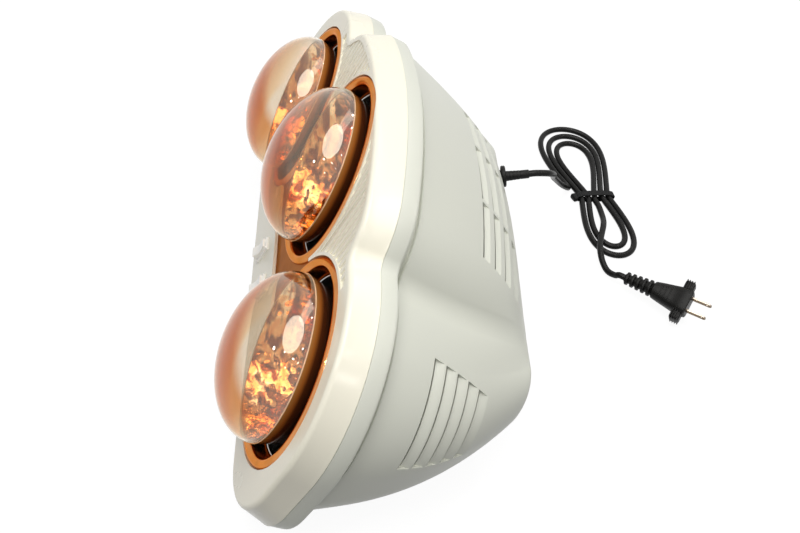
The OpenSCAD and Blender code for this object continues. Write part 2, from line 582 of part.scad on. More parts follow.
// The mains lead, drawn on the table behind the lamp: where it leaves the sleeve
function placed(p) = [p[0], shift_y + p[1] * cos(lean) + p[2] * sin(lean), shift_z - p[1] * sin(lean) + p[2] * cos(lean)];
exit_dir = [0, cos(exit_tilt - lean), sin(exit_tilt - lean)];
sleeve_end = placed([exit_x, exit_y, exit_z]) + (sleeve_l + 0.02) * exit_dir;
cord_r = cord_d / 2;
table = cord_r + 0.1;

// The hank: turns run in from the outer loop, drawn in to the tie at their middle
tie_at = [-164, 224.8];
tie_l = 14;
tie_t = 1;
tie_room = 3.6;
hank_turn = 8;
hank_from = 0.06;
hank_turns = 2.5;
hank_rings = 24;
upper_loop = 116;
lower_loop = 95;
loop_step = 12.5;
upper_half = 62;
lower_half = 48;
waist_step = cord_d + 1.3;
waist_half = waist_step * (hank_turns + 0.25);
function from_tie(u, v, z) = [tie_at[0] + u * cos(hank_turn) - v * sin(hank_turn),
    tie_at[1] + u * sin(hank_turn) + v * cos(hank_turn), z];
function hank_point(t) =
    let (a = 270 - 360 * t, c = cos(a), upper = c < 0,
        reach = (upper ? upper_loop : lower_loop) - loop_step * t,
        half = (upper ? upper_half : lower_half) - loop_step * 0.9 * t,
        waist = waist_half - waist_step * t, g = pow(abs(c), 1.2))
    from_tie(reach * c, sin(a) * mix(waist, half, g), table + mix(tie_t, 0, g));
hank_count = round((hank_turns - hank_from) * hank_rings);
hank_route = [for (i = [0:hank_count]) hank_point(mix(hank_from, hank_turns, i / hank_count))];
// Least gap of the hank to itself
hank_gap = min([for (i = [0:hank_count]) for (j = [i + 4:1:hank_count]) norm(hank_route[i] - hank_route[j])]) - cord_d;
echo(hank_gap = hank_gap);
module cord_hank() color("#1d1e20") tube(hank_route, cord_r, 6);

lead_points = [[-85, 146, 95], [-95, 154, 86], [-109, 159, 74], [-124, 164, 61], [-138, 170, 47],
    [-151, 178, 33], [-161, 187, 20], [-168, 195, 11], [-175, 200, 5]];
lead_route = concat([sleeve_end, sleeve_end + cord_d * exit_dir], lead_points,
    [hank_point(hank_from) - cord_d * unit(hank_point(hank_from + 0.001) - hank_point(hank_from)), hank_point(hank_from)]);
module cord_lead() color("#1d1e20") tube(lead_route, cord_r, 8);

// The tail passes over the lower loops and rises to the plug
plug_at = [-40, 231.8, 12.4];
plug_turn = 53;
plug_pitch = 7;
plug_roll = 30;
plug_dir = [cos(plug_turn) * cos(plug_pitch), sin(plug_turn) * cos(plug_pitch), sin(plug_pitch)];
tail_points = [from_tie(14, 1.4, 4.1), from_tie(27, 0.5, 4.5), from_tie(39, -2, 6.5), from_tie(51, -7, 9.6),
    from_tie(63, -13, 10.2), from_tie(75, -18.5, 10.2), from_tie(87, -22, 9.9), from_tie(98, -22.5, 7.2),
    from_tie(108, -20.5, 5.5), from_tie(116, -16.5, 8)];
tail_route = concat([hank_point(hank_turns), hank_point(hank_turns) + cord_d * unit(hank_point(hank_turns)
    - hank_point(hank_turns - 0.001))], tail_points, [plug_at - cord_d * plug_dir, plug_at - 0.02 * plug_dir]);
module cord_tail() color("#1d1e20") tube(tail_route, cord_r, 8);

module cord_tie() color("#1d1e20") translate([tie_at[0], tie_at[1], 0]) rotate([90, 0, hank_turn + 90]) {
    low = waist_step - waist_half - cord_r - tie_room;
    high = waist_half - waist_step / 2 + cord_r + tie_room;
    translate([0, 0, -tie_l / 2]) linear_extrude(tie_l) difference() {
        translate([low - tie_t, 0]) square([high - low + 2 * tie_t, cord_d + 2 * tie_t + 2 * fit]);
        translate([low, tie_t]) square([high - low, cord_d + 2 * fit]);
    }
}

module at_plug() translate(plug_at) rotate([0, 0, plug_turn]) rotate([0, -plug_pitch, 0]) rotate([plug_roll, 0, 0]) children();
relief_l = 28;
body_l = 36;
module plug_relief() color("#1d1e20") at_plug() rotate([0, 90, 0]) {
    cylinder(r1 = 4, r2 = 6.4, h = relief_l);
    for (i = [0:4]) translate([0, 0, 1 + i * 5.6]) cylinder(r1 = 6 + 0.4 * i, r2 = 6.4 + 0.4 * i, h = 3);
}
module plug_body() color("#1d1e20") at_plug() {
    translate([relief_l, 0, 0]) hull() {
        rotate([0, 90, 0]) cylinder(r = 7.6, h = 1);
        translate([body_l - 12, -12, -8]) cube([1, 24, 16]);
    }
    translate([relief_l + body_l - 12, 0, 0]) hull() {
        translate([0, -20, -6]) cube([10, 40, 12]);
        translate([2, -19, -8]) cube([6, 38, 16]);
        translate([0, -12, -9.5]) cube([12, 24, 19]);
    }
}
module plug_blades() color("#c9b27a") at_plug() for (s = [-1, 1]) difference() {
    translate([relief_l + body_l, s * blade_gap / 2 - 0.75, -3.2]) cube([blade_l, 1.5, 6.4]);
    translate([relief_l + body_l + blade_l - 4, s * blade_gap / 2 - 2, 0]) rotate([-90, 0, 0]) cylinder(r = 1.6, h = 4);
}

front_frame();
bezel_plate();
rear_housing();
back_plate();
chassis_plate();
reflector(lamps[0]);  // reflector_left
reflector(lamps[1]);  // reflector_middle
reflector(lamps[2]);  // reflector_right
lampholder(lamps[0]);  // lampholder_left
lampholder(lamps[1]);  // lampholder_middle
lampholder(lamps[2]);  // lampholder_right
bulb(lamps[0]);  // bulb_left
bulb(lamps[1]);  // bulb_middle
bulb(lamps[2]);  // bulb_right
bulb_cap(lamps[0]);  // bulb_cap_left
bulb_cap(lamps[1]);  // bulb_cap_middle
bulb_cap(lamps[2]);  // bulb_cap_right
filament(lamps[0]);  // filament_left
filament(lamps[1]);  // filament_middle
filament(lamps[2]);  // filament_right
switch_body(-switch_x);  // switch_body_left
switch_body(switch_x);  // switch_body_right
rocker(-switch_x);  // rocker_left
rocker(switch_x);  // rocker_right
holder_contacts();
terminal_block();
cord_clamp();
inner_leads();
frame_screws();
chassis_screws();
back_screws();
cord_grommet();
cord_lead();
cord_hank();
cord_tie();
cord_tail();
plug_relief();
plug_body();
plug_blades();
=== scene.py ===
import math

import bmesh
import bpy
from mathutils import Matrix, Vector
from mathutils.geometry import interpolate_bezier


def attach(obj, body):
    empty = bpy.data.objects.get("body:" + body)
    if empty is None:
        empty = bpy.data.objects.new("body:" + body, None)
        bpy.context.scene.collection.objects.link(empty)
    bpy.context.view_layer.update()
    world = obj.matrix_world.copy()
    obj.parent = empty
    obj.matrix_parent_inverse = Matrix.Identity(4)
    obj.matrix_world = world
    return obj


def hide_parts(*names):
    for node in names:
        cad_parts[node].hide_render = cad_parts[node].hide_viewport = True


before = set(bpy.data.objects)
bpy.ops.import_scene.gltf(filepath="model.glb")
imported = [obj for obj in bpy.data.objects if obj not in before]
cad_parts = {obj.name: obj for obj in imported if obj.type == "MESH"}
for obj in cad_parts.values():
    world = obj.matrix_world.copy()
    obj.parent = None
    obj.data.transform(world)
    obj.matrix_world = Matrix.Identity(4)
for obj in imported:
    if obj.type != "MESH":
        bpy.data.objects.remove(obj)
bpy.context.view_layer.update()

# Camera: the photograph was taken from above the lamp's right-hand end, looking down along the row.
# It stands 0.64 m over the table, and its picture is upright to the lamp's leaning face, not to the table.


def put(name, data):
    """A new object in the scene."""
    made = bpy.data.objects.new(name, data)
    bpy.context.scene.collection.objects.link(made)
    return made


camera = put("camera", bpy.data.cameras.new("camera"))
camera.data.sensor_width = 36.0
camera.data.lens = 44.05
picture_right = Vector((0.03494, 0.99309, 0.11199))
picture_up = Vector((-0.71264, -0.0538, 0.69947))
camera.matrix_world = (
    Matrix.Translation((0.58868, -0.0742, 0.64423))
    @ Matrix((picture_right, picture_up, picture_right.cross(picture_up))).transposed().to_4x4()
)
bpy.context.scene.camera = camera
bpy.context.scene.view_settings.view_transform = "Standard"

# Mains lead: black two-core flex, 6 mm across, from the sleeve in the housing's sloping back to the plug.
# It droops to the table, is wound into a flat hank behind the lamp and passes over the hank to its plug.
foot_drop, back_foot, band_y, body_depth, band_in = 97.0, 35.0, 34.5, 178.0, 0.6
lean = math.atan((foot_drop - band_in - back_foot) / (body_depth - band_y))
on_table = Matrix.Translation((0, -0.07745, 0.1021993)) @ Matrix.Rotation(-lean, 4, "X")
cord_d = 0.006
cord_lie = cord_d / 2 + 0.0001
sleeve_tilt = math.radians(35.5)
sleeve_l = 0.025
sleeve_dir = Vector((0, math.cos(sleeve_tilt - lean), math.sin(sleeve_tilt - lean)))
grommet_at = Vector((-0.082, 0.171, 0.059942))
just_off = 0.00002
sleeve_end = on_table @ grommet_at + (sleeve_l + just_off) * sleeve_dir
droop = [(-85, 146, 95), (-95, 154, 86), (-109, 159, 74), (-124, 164, 61), (-138, 170, 47),
         (-151, 178, 33), (-161, 187, 20), (-168, 195, 11), (-175, 200, 5)]
tie_at = Vector((-0.164, 0.2248))
hank_turn = math.radians(8)
hank_from, hank_turns = 0.06, 2.5
upper_loop, lower_loop, loop_step = 0.116, 0.095, 0.0125
upper_half, lower_half = 0.062, 0.048
waist_step = cord_d + 0.0013
waist_half = waist_step * (hank_turns + 0.25)
tie_t = 0.001


def from_tie(u, v, z):
    """A point of the table by its place along and across the hank, from the tie."""
    c, s = math.cos(hank_turn), math.sin(hank_turn)
    return Vector((tie_at.x + u * c - v * s, tie_at.y + u * s + v * c, z))


def hank_point(t):
    """The lead's centre after t turns of the hank."""
    a = math.radians(270 - 360 * t)
    c = math.cos(a)
    reach = (upper_loop if c < 0 else lower_loop) - loop_step * t
    half = (upper_half if c < 0 else lower_half) - loop_step * 0.9 * t
    open_up = abs(c) ** 1.2
    across = (waist_half - waist_step * t) * (1 - open_up) + half * open_up
    return from_tie(reach * c, math.sin(a) * across, cord_lie + tie_t * (1 - open_up))


plug_at = Vector((-0.040, 0.2318, 0.0124))
plug_turn, plug_pitch, plug_roll = math.radians(53), math.radians(7), math.radians(30)
plug_place = (
    Matrix.Translation(plug_at)
    @ Matrix.Rotation(plug_turn, 4, "Z")
    @ Matrix.Rotation(-plug_pitch, 4, "Y")
    @ Matrix.Rotation(plug_roll, 4, "X")
)
plug_dir = (plug_place.to_3x3() @ Vector((1, 0, 0))).normalized()
tail = [(14, 1.4, 4.1), (27, 0.5, 4.5), (39, -2, 6.5), (51, -7, 9.6), (63, -13, 10.2), (75, -18.5, 10.2),
        (87, -22, 9.9), (98, -22.5, 7.2), (108, -20.5, 5.5), (116, -16.5, 8)]
points_a_turn = 60
hank_count = round((hank_turns - hank_from) * points_a_turn)
hank = [hank_point(hank_from + (hank_turns - hank_from) * i / hank_count) for i in range(hank_count + 1)]
route = [sleeve_end, sleeve_end + cord_d * sleeve_dir]
route += [Vector(p) / 1000 for p in droop]
route += [hank[0] - cord_d * (hank[1] - hank[0]).normalized()] + hank
route += [hank[-1] + cord_d * (hank[-1] - hank[-2]).normalized()]
route += [from_tie(*(x / 1000 for x in p)) for p in tail]
route += [plug_at - cord_d * plug_dir, plug_at - just_off * plug_dir]


def smooth_line(points, parts):
    """Points on a smooth curve through all the given ones."""
    tangents = [(points[min(i + 1, len(points) - 1)] - points[max(i - 1, 0)]).normalized()
                for i in range(len(points))]
    line = [points[0]]
    for a, b, ta, tb in zip(points, points[1:], tangents, tangents[1:]):
        third = (b - a).length / 3
        line += interpolate_bezier(a, a + ta * third, b - tb * third, b, parts + 1)[1:]
    return line


def node_kit(tree, family="ShaderNode"):
    """Two short ways to work in a node tree. feed sets an input to a value, or links it to an output or to a node's
    first live output. add makes a node, sets its options and feeds its inputs."""
    def feed(socket, value):
        if isinstance(value, bpy.types.Node):
            value = next(out for out in value.outputs if out.enabled)
        if isinstance(value, bpy.types.NodeSocket):
            tree.links.new(value, socket)
        else:
            socket.default_value = value

    def add(kind, inputs=(), **options):
        node = tree.nodes.new(kind if kind.startswith("NodeGroup") else family + kind)
        for key, value in options.items():
            setattr(node, key, value)
        for key, value in dict(inputs).items():
            feed(node.inputs[key], value)
        return node

    return add, feed


def node_material(name):
    """A way to add nodes to a new material, and one to feed its Principled shader and get the material."""
    made = bpy.data.materials.new(name)
    made.use_nodes = True
    add, feed = node_kit(made.node_tree)

    def finish(**inputs):
        for key, value in inputs.items():
            feed(made.node_tree.nodes["Principled BSDF"].inputs[key.replace("_", " ")], value)
        return made

    return add, finish


def shade(srgb, share=1.0):
    """That share of a colour, given as the eye reads it from 0 to 255, as the shader wants it."""
    linear = [c / 255 / 12.92 if c / 255 <= 0.04045 else ((c / 255 + 0.055) / 1.055) ** 2.4 for c in srgb]
    return [share * c for c in linear] + [1.0]


def sockets(tree, way, **kinds):
    """Gives a node tree named inputs or outputs."""
    for name, kind in kinds.items():
        tree.interface.new_socket(name.replace("_", " "), in_out=way, socket_type="NodeSocket" + kind)


def span(add, value, low, high, start=0.0, end=1.0, kind="SMOOTHSTEP"):
    """Turns a value's stretch from low to high into start to end, softly unless told otherwise."""
    return add("MapRange", {"Value": value, "From Min": low, "From Max": high, "To Min": start, "To Max": end},
               interpolation_type=kind)


def over(add, share, below, above, blend="MIX"):
    """Lays a colour over another by a share that changes over the surface."""
    return add("Mix", {"Factor": share, "A": below, "B": shade(above)}, data_type="RGBA", blend_type=blend)


def noise(add, scale, detail=2.0, **more):
    """Noise over the object."""
    place = add("TexCoord").outputs["Object"]
    return add("TexNoise", {"Vector": place, "Scale": scale, "Detail": detail, **more})


def bumps(add, height, strength, distance):
    return add("Bump", {"Height": height, "Strength": strength, "Distance": distance})


def moulded_skin():
    """Shader group for moulded pieces: grain in the normal, faint clouds in colour and gloss, dust on what faces up."""
    group = bpy.data.node_groups.new("moulded_skin", "ShaderNodeTree")
    sockets(group, "INPUT", Colour="Color", Clouding="Float", Gloss="Float", Grain="Float", Grain_Depth="Float",
            Dust="Float")
    sockets(group, "OUTPUT", Colour="Color", Roughness="Float", Normal="Vector")
    add, _ = node_kit(group)
    given = add("NodeGroupInput").outputs
    level = span(add, noise(add, 14.0, 5.0), 0.3, 0.7, -1.0, 1.0, "LINEAR")
    swing = add("Math", {0: level, 1: given["Clouding"], 2: 1.0}, operation="MULTIPLY_ADD")
    toned = add("VectorMath", {0: given["Colour"], "Scale": swing}, operation="SCALE")
    up = add("SeparateXYZ", {"Vector": add("NewGeometry").outputs["Normal"]})
    settled = add("Math", {0: up.outputs["Z"], 1: noise(add, 420.0)}, operation="MULTIPLY", use_clamp=True)
    dusty = add("Math", {0: settled, 1: given["Dust"]}, operation="MULTIPLY")
    rough = add("Math", {0: level, 1: 0.05, 2: given["Gloss"]}, operation="MULTIPLY_ADD")
    add("NodeGroupOutput", {"Colour": over(add, dusty, toned, (196, 190, 178)), "Roughness": rough,
                            "Normal": bumps(add, noise(add, given["Grain"], 3.0), given["Grain Depth"], 0.0004)})
    return group


skin = moulded_skin()


def moulded(name, colour, gloss, clouding=0.03, grain=900.0, depth=0.05, dust=0.0, mirror=0.5):
    """A moulded plastic or rubber finish with its own grain, gloss, cloudiness and strength of mirroring."""
    add, finish = node_material(name)
    made = add("Group", node_tree=skin, inputs={
        "Colour": shade(colour), "Clouding": clouding, "Gloss": gloss, "Grain": grain, "Grain Depth": depth,
        "Dust": dust}).outputs
    return finish(Base_Color=made["Colour"], Roughness=made["Roughness"], Normal=made["Normal"],
                  Specular_IOR_Level=mirror)


cord_black = moulded("cord_black", (11, 11, 11), 0.34, clouding=0.2, grain=700.0, depth=0.12, dust=0.015, mirror=0.16)
line = smooth_line(route, 3)
flex = bpy.data.curves.new("mains_lead", "CURVE")
flex.dimensions = "3D"
spline = flex.splines.new("POLY")
spline.points.add(len(line) - 1)
for point, at in zip(spline.points, line):
    point.co = (*at, 1.0)
flex.bevel_depth = cord_d / 2
flex.bevel_resolution = 5
flex.use_fill_caps = True
flex.materials.append(cord_black)
mains_lead = put("mains_lead", flex)
cord_length = sum((b - a).length for a, b in zip(line, line[1:]))
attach(mains_lead, "lamp")
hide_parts("cord_lead", "cord_hank", "cord_tail")

# Tie: a flat black strap that holds the hank together at its waist, with a small knot on the side.
# It is a loop of soft strip drawn round the runs of flex.


def new_piece(name, mesh, material, body="lamp", stands_for=(), crease=32):
    """An object for a finished mesh that is in place already, smooth but for its creases, riding on its body."""
    if not isinstance(material, list):
        mesh.materials.clear()
        material = [material]
    for finish in material:
        mesh.materials.append(finish)
    mesh.shade_smooth()
    mesh.set_sharp_from_angle(angle=math.radians(crease))
    made = put(name, mesh)
    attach(made, body)
    if stands_for:
        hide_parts(*stands_for)
    return made


def mesh_of(bm):
    """The finished mesh of a bmesh, which is then freed."""
    mesh = bpy.data.meshes.new("made")
    bm.to_mesh(mesh)
    bm.free()
    return mesh


def skinned(rows, closed_rows=False):
    """A mesh over rows of points, each row a ring, with its faces outward; its ends are closed, or meet."""
    bm = bmesh.new()
    rings = [[bm.verts.new(p) for p in row] for row in rows]
    pairs = list(zip(rings, rings[1:])) + ([(rings[-1], rings[0])] if closed_rows else [])
    n = len(rings[0])
    for a, b in pairs:
        for i in range(n):
            bm.faces.new((a[i], a[(i + 1) % n], b[(i + 1) % n], b[i]))
    if not closed_rows:
        bm.faces.new(list(reversed(rings[0])))
        bm.faces.new(rings[-1])
    bmesh.ops.remove_doubles(bm, verts=bm.verts, dist=1e-7)
    bmesh.ops.recalc_face_normals(bm, faces=bm.faces)
    return mesh_of(bm)


def joined(*meshes):
    """One mesh out of several closed ones."""
    bm = bmesh.new()
    for mesh in meshes:
        bm.from_mesh(mesh)
    return mesh_of(bm)


def rounded_box(size, radius, place=Matrix(), parts=3):
    """A box of that size about its middle, with rounded edges."""
    bm = bmesh.new()
    bmesh.ops.create_cube(bm, size=1.0, matrix=Matrix.Diagonal((*size, 1)))
    bmesh.ops.bevel(bm, geom=bm.edges, offset=radius, segments=parts, profile=0.5, affect="EDGES")
    bmesh.ops.transform(bm, matrix=place, verts=bm.verts)
    return mesh_of(bm)


def steps_round(n):
    """n even steps round a circle, as angles."""
    return [2 * math.pi * k / n for k in range(n)]


def bulge(value, power):
    """A sine or cosine pushed out towards a square."""
    return math.copysign(abs(value) ** power, value)


strap_w = 0.007
strap_room = 0.0034
strap_low = waist_step - waist_half - cord_d / 2 - strap_room
strap_high = waist_half - waist_step / 2 + cord_d / 2 + strap_room
strap_top = cord_d + 2 * tie_t + 0.0003
tie_black = moulded("tie_black", (9, 9, 9), 0.5, clouding=0.2, grain=1200, depth=0.25, mirror=0.16)
strap_rows = []
half_w, half_h, strap_mid = (strap_high - strap_low) / 2, strap_top / 2, (strap_low + strap_high) / 2
squarish = 0.45
for a in steps_round(64):
    across, upright = bulge(math.cos(a), squarish), bulge(math.sin(a), squarish)
    middle, inner = (Vector((strap_mid + (half_w - t) * across, half_h + (half_h - t) * upright))
                     for t in (0, tie_t * 0.8))
    swell = 0.0006 * math.sin(3 * a)
    strap_rows.append([
        from_tie(u, v.x, v.y) for u, v in (
            (-strap_w / 2 + swell, middle), (strap_w / 2 + swell, middle),
            (strap_w / 2 + swell, inner), (-strap_w / 2 + swell, inner))])
knot = rounded_box((0.009, 0.006, 0.006), 0.002, Matrix.Translation(from_tie(0.001, strap_low - 0.001, 0.0042))
                   @ Matrix.Rotation(hank_turn + 0.3, 4, "Z"))
hank_tie = new_piece("hank_tie", joined(skinned(strap_rows, closed_rows=True), knot), tie_black,
                     stands_for=("cord_tie",))

# Plug: black moulded two-blade plug with a ribbed relief on the flex, a tapering body and a wide finger grip.
# The body is moulded round the flex; grip and relief have cast-in ribs, and the brass blades are plated pale.
relief_l, body_l, grip_l = 0.028, 0.036, 0.012


def plug_ring(x, half_w, half_h, power):
    """A rounded cross-section of the plug at x along it."""
    return [plug_place @ Vector((x, half_w * bulge(math.cos(a), 2 / power), half_h * bulge(math.sin(a), 2 / power)))
            for a in steps_round(48)]


relief_rows = [plug_ring(0.0, 0.0038, 0.0038, 2)]
for i in range(5):
    start = 0.001 + i * 0.0056
    top = 0.0060 + 0.0004 * i
    root = 0.0041 + 0.0004 * i
    relief_rows += [plug_ring(start + x, half, half, power) for x, half, power in (
        (0, root, 2), (0.0003, top - 0.0003, 2.4), (0.0008, top, 2.4), (0.0024, top, 2.4),
        (0.0029, top - 0.0003, 2.4), (0.0032, root, 2))]
relief_rows.append(plug_ring(relief_l, 0.0062, 0.0062, 2))
plug_black = moulded("plug_black", (10, 10, 10), 0.4, clouding=0.25, grain=1100, depth=0.3, dust=0.02, mirror=0.16)
plug_relief = new_piece("plug_neck", skinned(relief_rows), plug_black, stands_for=("plug_relief",))

head = relief_l + body_l
body_rows = [plug_ring(*ring) for ring in (
    (relief_l + 0.0002, 0.0070, 0.0066, 2), (relief_l + 0.001, 0.0080, 0.0076, 2.2),
    (relief_l + 0.008, 0.0094, 0.0080, 2.6), (relief_l + 0.018, 0.0112, 0.0080, 3.2),
    (head - grip_l, 0.0122, 0.0080, 4), (head - grip_l + 0.002, 0.0124, 0.0090, 4.5),
    (head - 0.003, 0.0122, 0.0094, 5), (head - 0.0008, 0.0118, 0.0090, 5), (head - 0.0001, 0.0108, 0.0080, 5))]
wings = []
for side in (-1, 1):
    wing_place = plug_place @ Matrix.Translation((head - grip_l / 2 - 0.001, side * 0.0150, 0))
    wings.append(rounded_box((0.0096, 0.0100, 0.0120), 0.0022, wing_place))
    for i in range(4):
        rib = wing_place @ Matrix.Translation((-0.0033 + 0.0022 * i, 0, 0))
        wings.append(rounded_box((0.0009, 0.0102, 0.0150), 0.0004, rib, parts=2))
for i in range(3):
    pad = plug_place @ Matrix.Translation((relief_l + 0.0085 + 0.0042 * i, 0, 0.0078))
    wings.append(rounded_box((0.0014, 0.0110 + 0.0012 * i, 0.0012), 0.0005, pad, parts=2))
plug_body = new_piece("plug_shell", joined(skinned(body_rows), *wings), plug_black,
                      stands_for=("plug_body",))


def colours(add, value, *stops):
    """A colour ramp over a value, with the given places and colours."""
    ramp = add("ValToRGB", {"Fac": value})
    marks = ramp.color_ramp.elements
    marks[0].position, marks[1].position = stops[0][0], stops[-1][0]
    for at, _ in stops[1:-1]:
        marks.new(at)
    for mark, (_, colour) in zip(marks, stops):
        mark.color = colour if len(colour) == 4 else shade(colour)
    return ramp


def bare_metal(name, colour, rough, brushed=0.0, patchy=0.06, **more):
    """A bare or plated metal with faint stains, and fine lines along Z where it is brushed."""
    add, finish = node_material(name)
    stains = noise(add, 60.0, 6.0)
    if brushed:
        stretch = add("Mapping", {"Vector": add("TexCoord").outputs["Object"], "Scale": (1800, 1800, 30)})
        more["Normal"] = bumps(add, add("TexNoise", {"Vector": stretch, "Scale": 1.0, "Detail": 2.0}), brushed, 0.0002)
    return finish(Metallic=1.0, Roughness=span(add, stains, 0.0, 1.0, rough * 1.35, rough * 0.75, "LINEAR"),
                  Base_Color=colours(add, stains, (0.32, shade(colour, 1 - 2.5 * patchy)), (0.62, colour)), **more)


def plate_with_hole(length, width, thick, hole_r, hole_at, corner=0.0018, n=112):
    """A flat blade with a rounded tip, softened edges and one round hole near its tip."""
    def edge(a, inset):
        reach = min((length / 2) / max(abs(math.cos(a)), 1e-6), (width / 2) / max(abs(math.sin(a)), 1e-6))
        p = Vector((length / 2 + math.cos(a) * reach, math.sin(a) * reach))
        over_tip = p.x - (length - corner)
        if over_tip > 0:
            limit = width / 2 - corner + math.sqrt(max(0, corner ** 2 - over_tip ** 2))
            p.y = max(-limit, min(limit, p.y))
        return p + (Vector((length / 2, 0)) - p).normalized() * inset

    soft = ((-thick / 2, 0.0002), (-thick / 2 + 0.0002, 0), (thick / 2 - 0.0002, 0), (thick / 2, 0.0002))
    rows = [[Vector((p.x, level, p.y)) for p in [edge(a, inset) for a in steps_round(n)]] for level, inset in soft]
    rows += [[Vector((hole_at + (hole_r + inset) * math.cos(a), level, (hole_r + inset) * math.sin(a)))
              for a in steps_round(n)] for level, inset in reversed(soft)]
    return skinned(rows, closed_rows=True)


blade_brass = bare_metal("blade_brass", (172, 160, 146), 0.24, patchy=0.08, Specular_Tint=shade((150, 140, 130)))
blades, blade_pitch = [], 0.0127
for side in (-1, 1):
    blade = plate_with_hole(0.018, 0.0064, 0.0015, 0.0016, 0.0142)
    blade.transform(plug_place @ Matrix.Translation((head, side * blade_pitch / 2, 0)))
    blades.append(blade)
plug_blades = new_piece("plug_pins", joined(*blades), blade_brass, stands_for=("plug_blades",))

# Rear housing: pale grey moulded tub behind a lobed front, open at the front and the back.
# A band follows the frame's outline behind the seam; a groove parts it from the tub, which tapers to a smaller,
# flat back. Slanted louvres are moulded over the arch and round both ends.
lamp_pitch, lamp_rise = 149.3, 56.6
arch_top, end_r, arch_r = 145.3, 99.4, 340.0
shoulder_a, shoulder_r, corner_r = 73.5, 56.0, 61.0
seam_y, wall = 21.0, 2.8
back_half_w, back_top = 157.0, 51.0
finer = 4
steps = [10 * finer, 6 * finer, 4 * finer, 13 * finer, finer, 6 * finer, 3 * finer]


def mix(a, b, t):
    return a * (1 - t) + b * t


def turn_of(centre, radius, a0, a1, n):
    """n points along a round stretch."""
    return [Vector(centre) + radius * Vector((math.cos(math.radians(mix(a0, a1, i / n))),
                                              math.sin(math.radians(mix(a0, a1, i / n))))) for i in range(n)]


def run_of(a, b, n):
    """n points along a straight stretch."""
    return [mix(Vector(a), Vector(b), i / n) for i in range(n)]


def lobed_half(top, round_r, cusp_r, lobe_r, corner, foot, d):
    """Half outline of the lobed front in millimetres, from the arch top to the middle of the foot, moved in by d."""
    sa = math.radians(shoulder_a)
    shoulder_c = Vector((0, top - arch_r)) + (arch_r - round_r) * Vector((math.cos(sa), math.sin(sa)))
    lobe_c = Vector((lamp_pitch, 0))
    apart = (lobe_c - shoulder_c).length
    e = (lobe_c - shoulder_c) / apart
    r1, r2 = round_r + cusp_r, lobe_r + cusp_r
    x = (r1 * r1 - r2 * r2 + apart * apart) / (2 * apart)
    cusp_c = shoulder_c + e * x + Vector((-e.y, e.x)) * math.sqrt(max(0, r1 * r1 - x * x))
    a1 = math.degrees(math.atan2(cusp_c.y - shoulder_c.y, cusp_c.x - shoulder_c.x))
    a2 = math.degrees(math.atan2(cusp_c.y - lobe_c.y, cusp_c.x - lobe_c.x))
    corner_c = Vector((lamp_pitch + lobe_r - corner, corner - foot))
    return (turn_of((0, top - arch_r), arch_r - d, 90, shoulder_a, steps[0])
            + turn_of(shoulder_c, round_r - d, shoulder_a, a1, steps[1])
            + turn_of(cusp_c, cusp_r + d, a1 + 180, a2 + 180, steps[2])
            + turn_of(lobe_c, lobe_r - d, a2, 0, steps[3])
            + run_of((lamp_pitch + lobe_r - d, 0), (lamp_pitch + lobe_r - d, corner_c.y), steps[4])
            + turn_of(corner_c, corner - d, 0, -90, steps[5])
            + run_of((corner_c.x, d - foot), (0, d - foot), steps[6]) + [Vector((0, d - foot))])


def seam_half(d):
    return lobed_half(arch_top, shoulder_r, 14, end_r, corner_r, foot_drop, d)


def tub_half(d):
    return lobed_half(arch_top - 6.3, shoulder_r - 4, 17, end_r - 10.4, corner_r, foot_drop - 2, d)


def back_half(d):
    w, t, r, f = back_half_w, back_top - d, 30, 52
    top_n = 4 * finer
    return (run_of((0, t), (w * 0.38, t), steps[0]) + run_of((w * 0.38, t), (w * 0.6, t), steps[1])
            + run_of((w * 0.6, t), (w * 0.71, t), steps[2]) + run_of((w * 0.71, t), (w - r, t), top_n)
            + turn_of((w - r, back_top - r), r - d, 90, 0, steps[3] - top_n)
            + run_of((w - d, back_top - r), (w - d, f - back_foot), steps[4])
            + turn_of((w - f, f - back_foot), f - d, 0, -90, steps[5])
            + run_of((w - f, d - back_foot), (0, d - back_foot), steps[6]) + [Vector((0, d - back_foot))])


lobe_at = sum(steps[:3])
side_at = lobe_at + steps[3]


def fall(i, u):
    """How far point i has gone from the lobed outline to the back's at share u of the tub's depth."""
    arch, lobe, foot = 0.62 * u + 0.38 * u ** 6, u ** 1.1, math.sqrt(u)
    side = (lobe + foot) / 2
    first, top, low = lobe_at - steps[2], lobe_at + 4 * finer, side_at + steps[4] + 3 * finer
    if i < first:
        return arch
    if i < top:
        return mix(arch, lobe, (i - first) / (top - first))
    if i < side_at:
        return mix(lobe, side, (i - top) / (side_at - top))
    if i < low:
        return mix(side, foot, (i - side_at) / (low - side_at))
    return foot


def tub_ring(u, d):
    """Half outline of the tub at share u of its depth, moved in by d."""
    drawn = 0.07 * u + 0.93 * u * u
    return [Vector((mix(f.x, b.x, drawn), mix(f.y, b.y, fall(i, u))))
            for i, (f, b) in enumerate(zip(tub_half(d), back_half(d)))]


def whole(half, y):
    """The full outline at depth y, in place on the table."""
    full = half + [Vector((-p.x, p.y)) for p in half[-2:0:-1]]
    return [on_table @ (Vector((p.x, y, p.y)) / 1000) for p in full]


def depth_at(u):
    return mix(band_y, body_depth, u)


def share_at(y):
    return (y - band_y) / (body_depth - band_y)


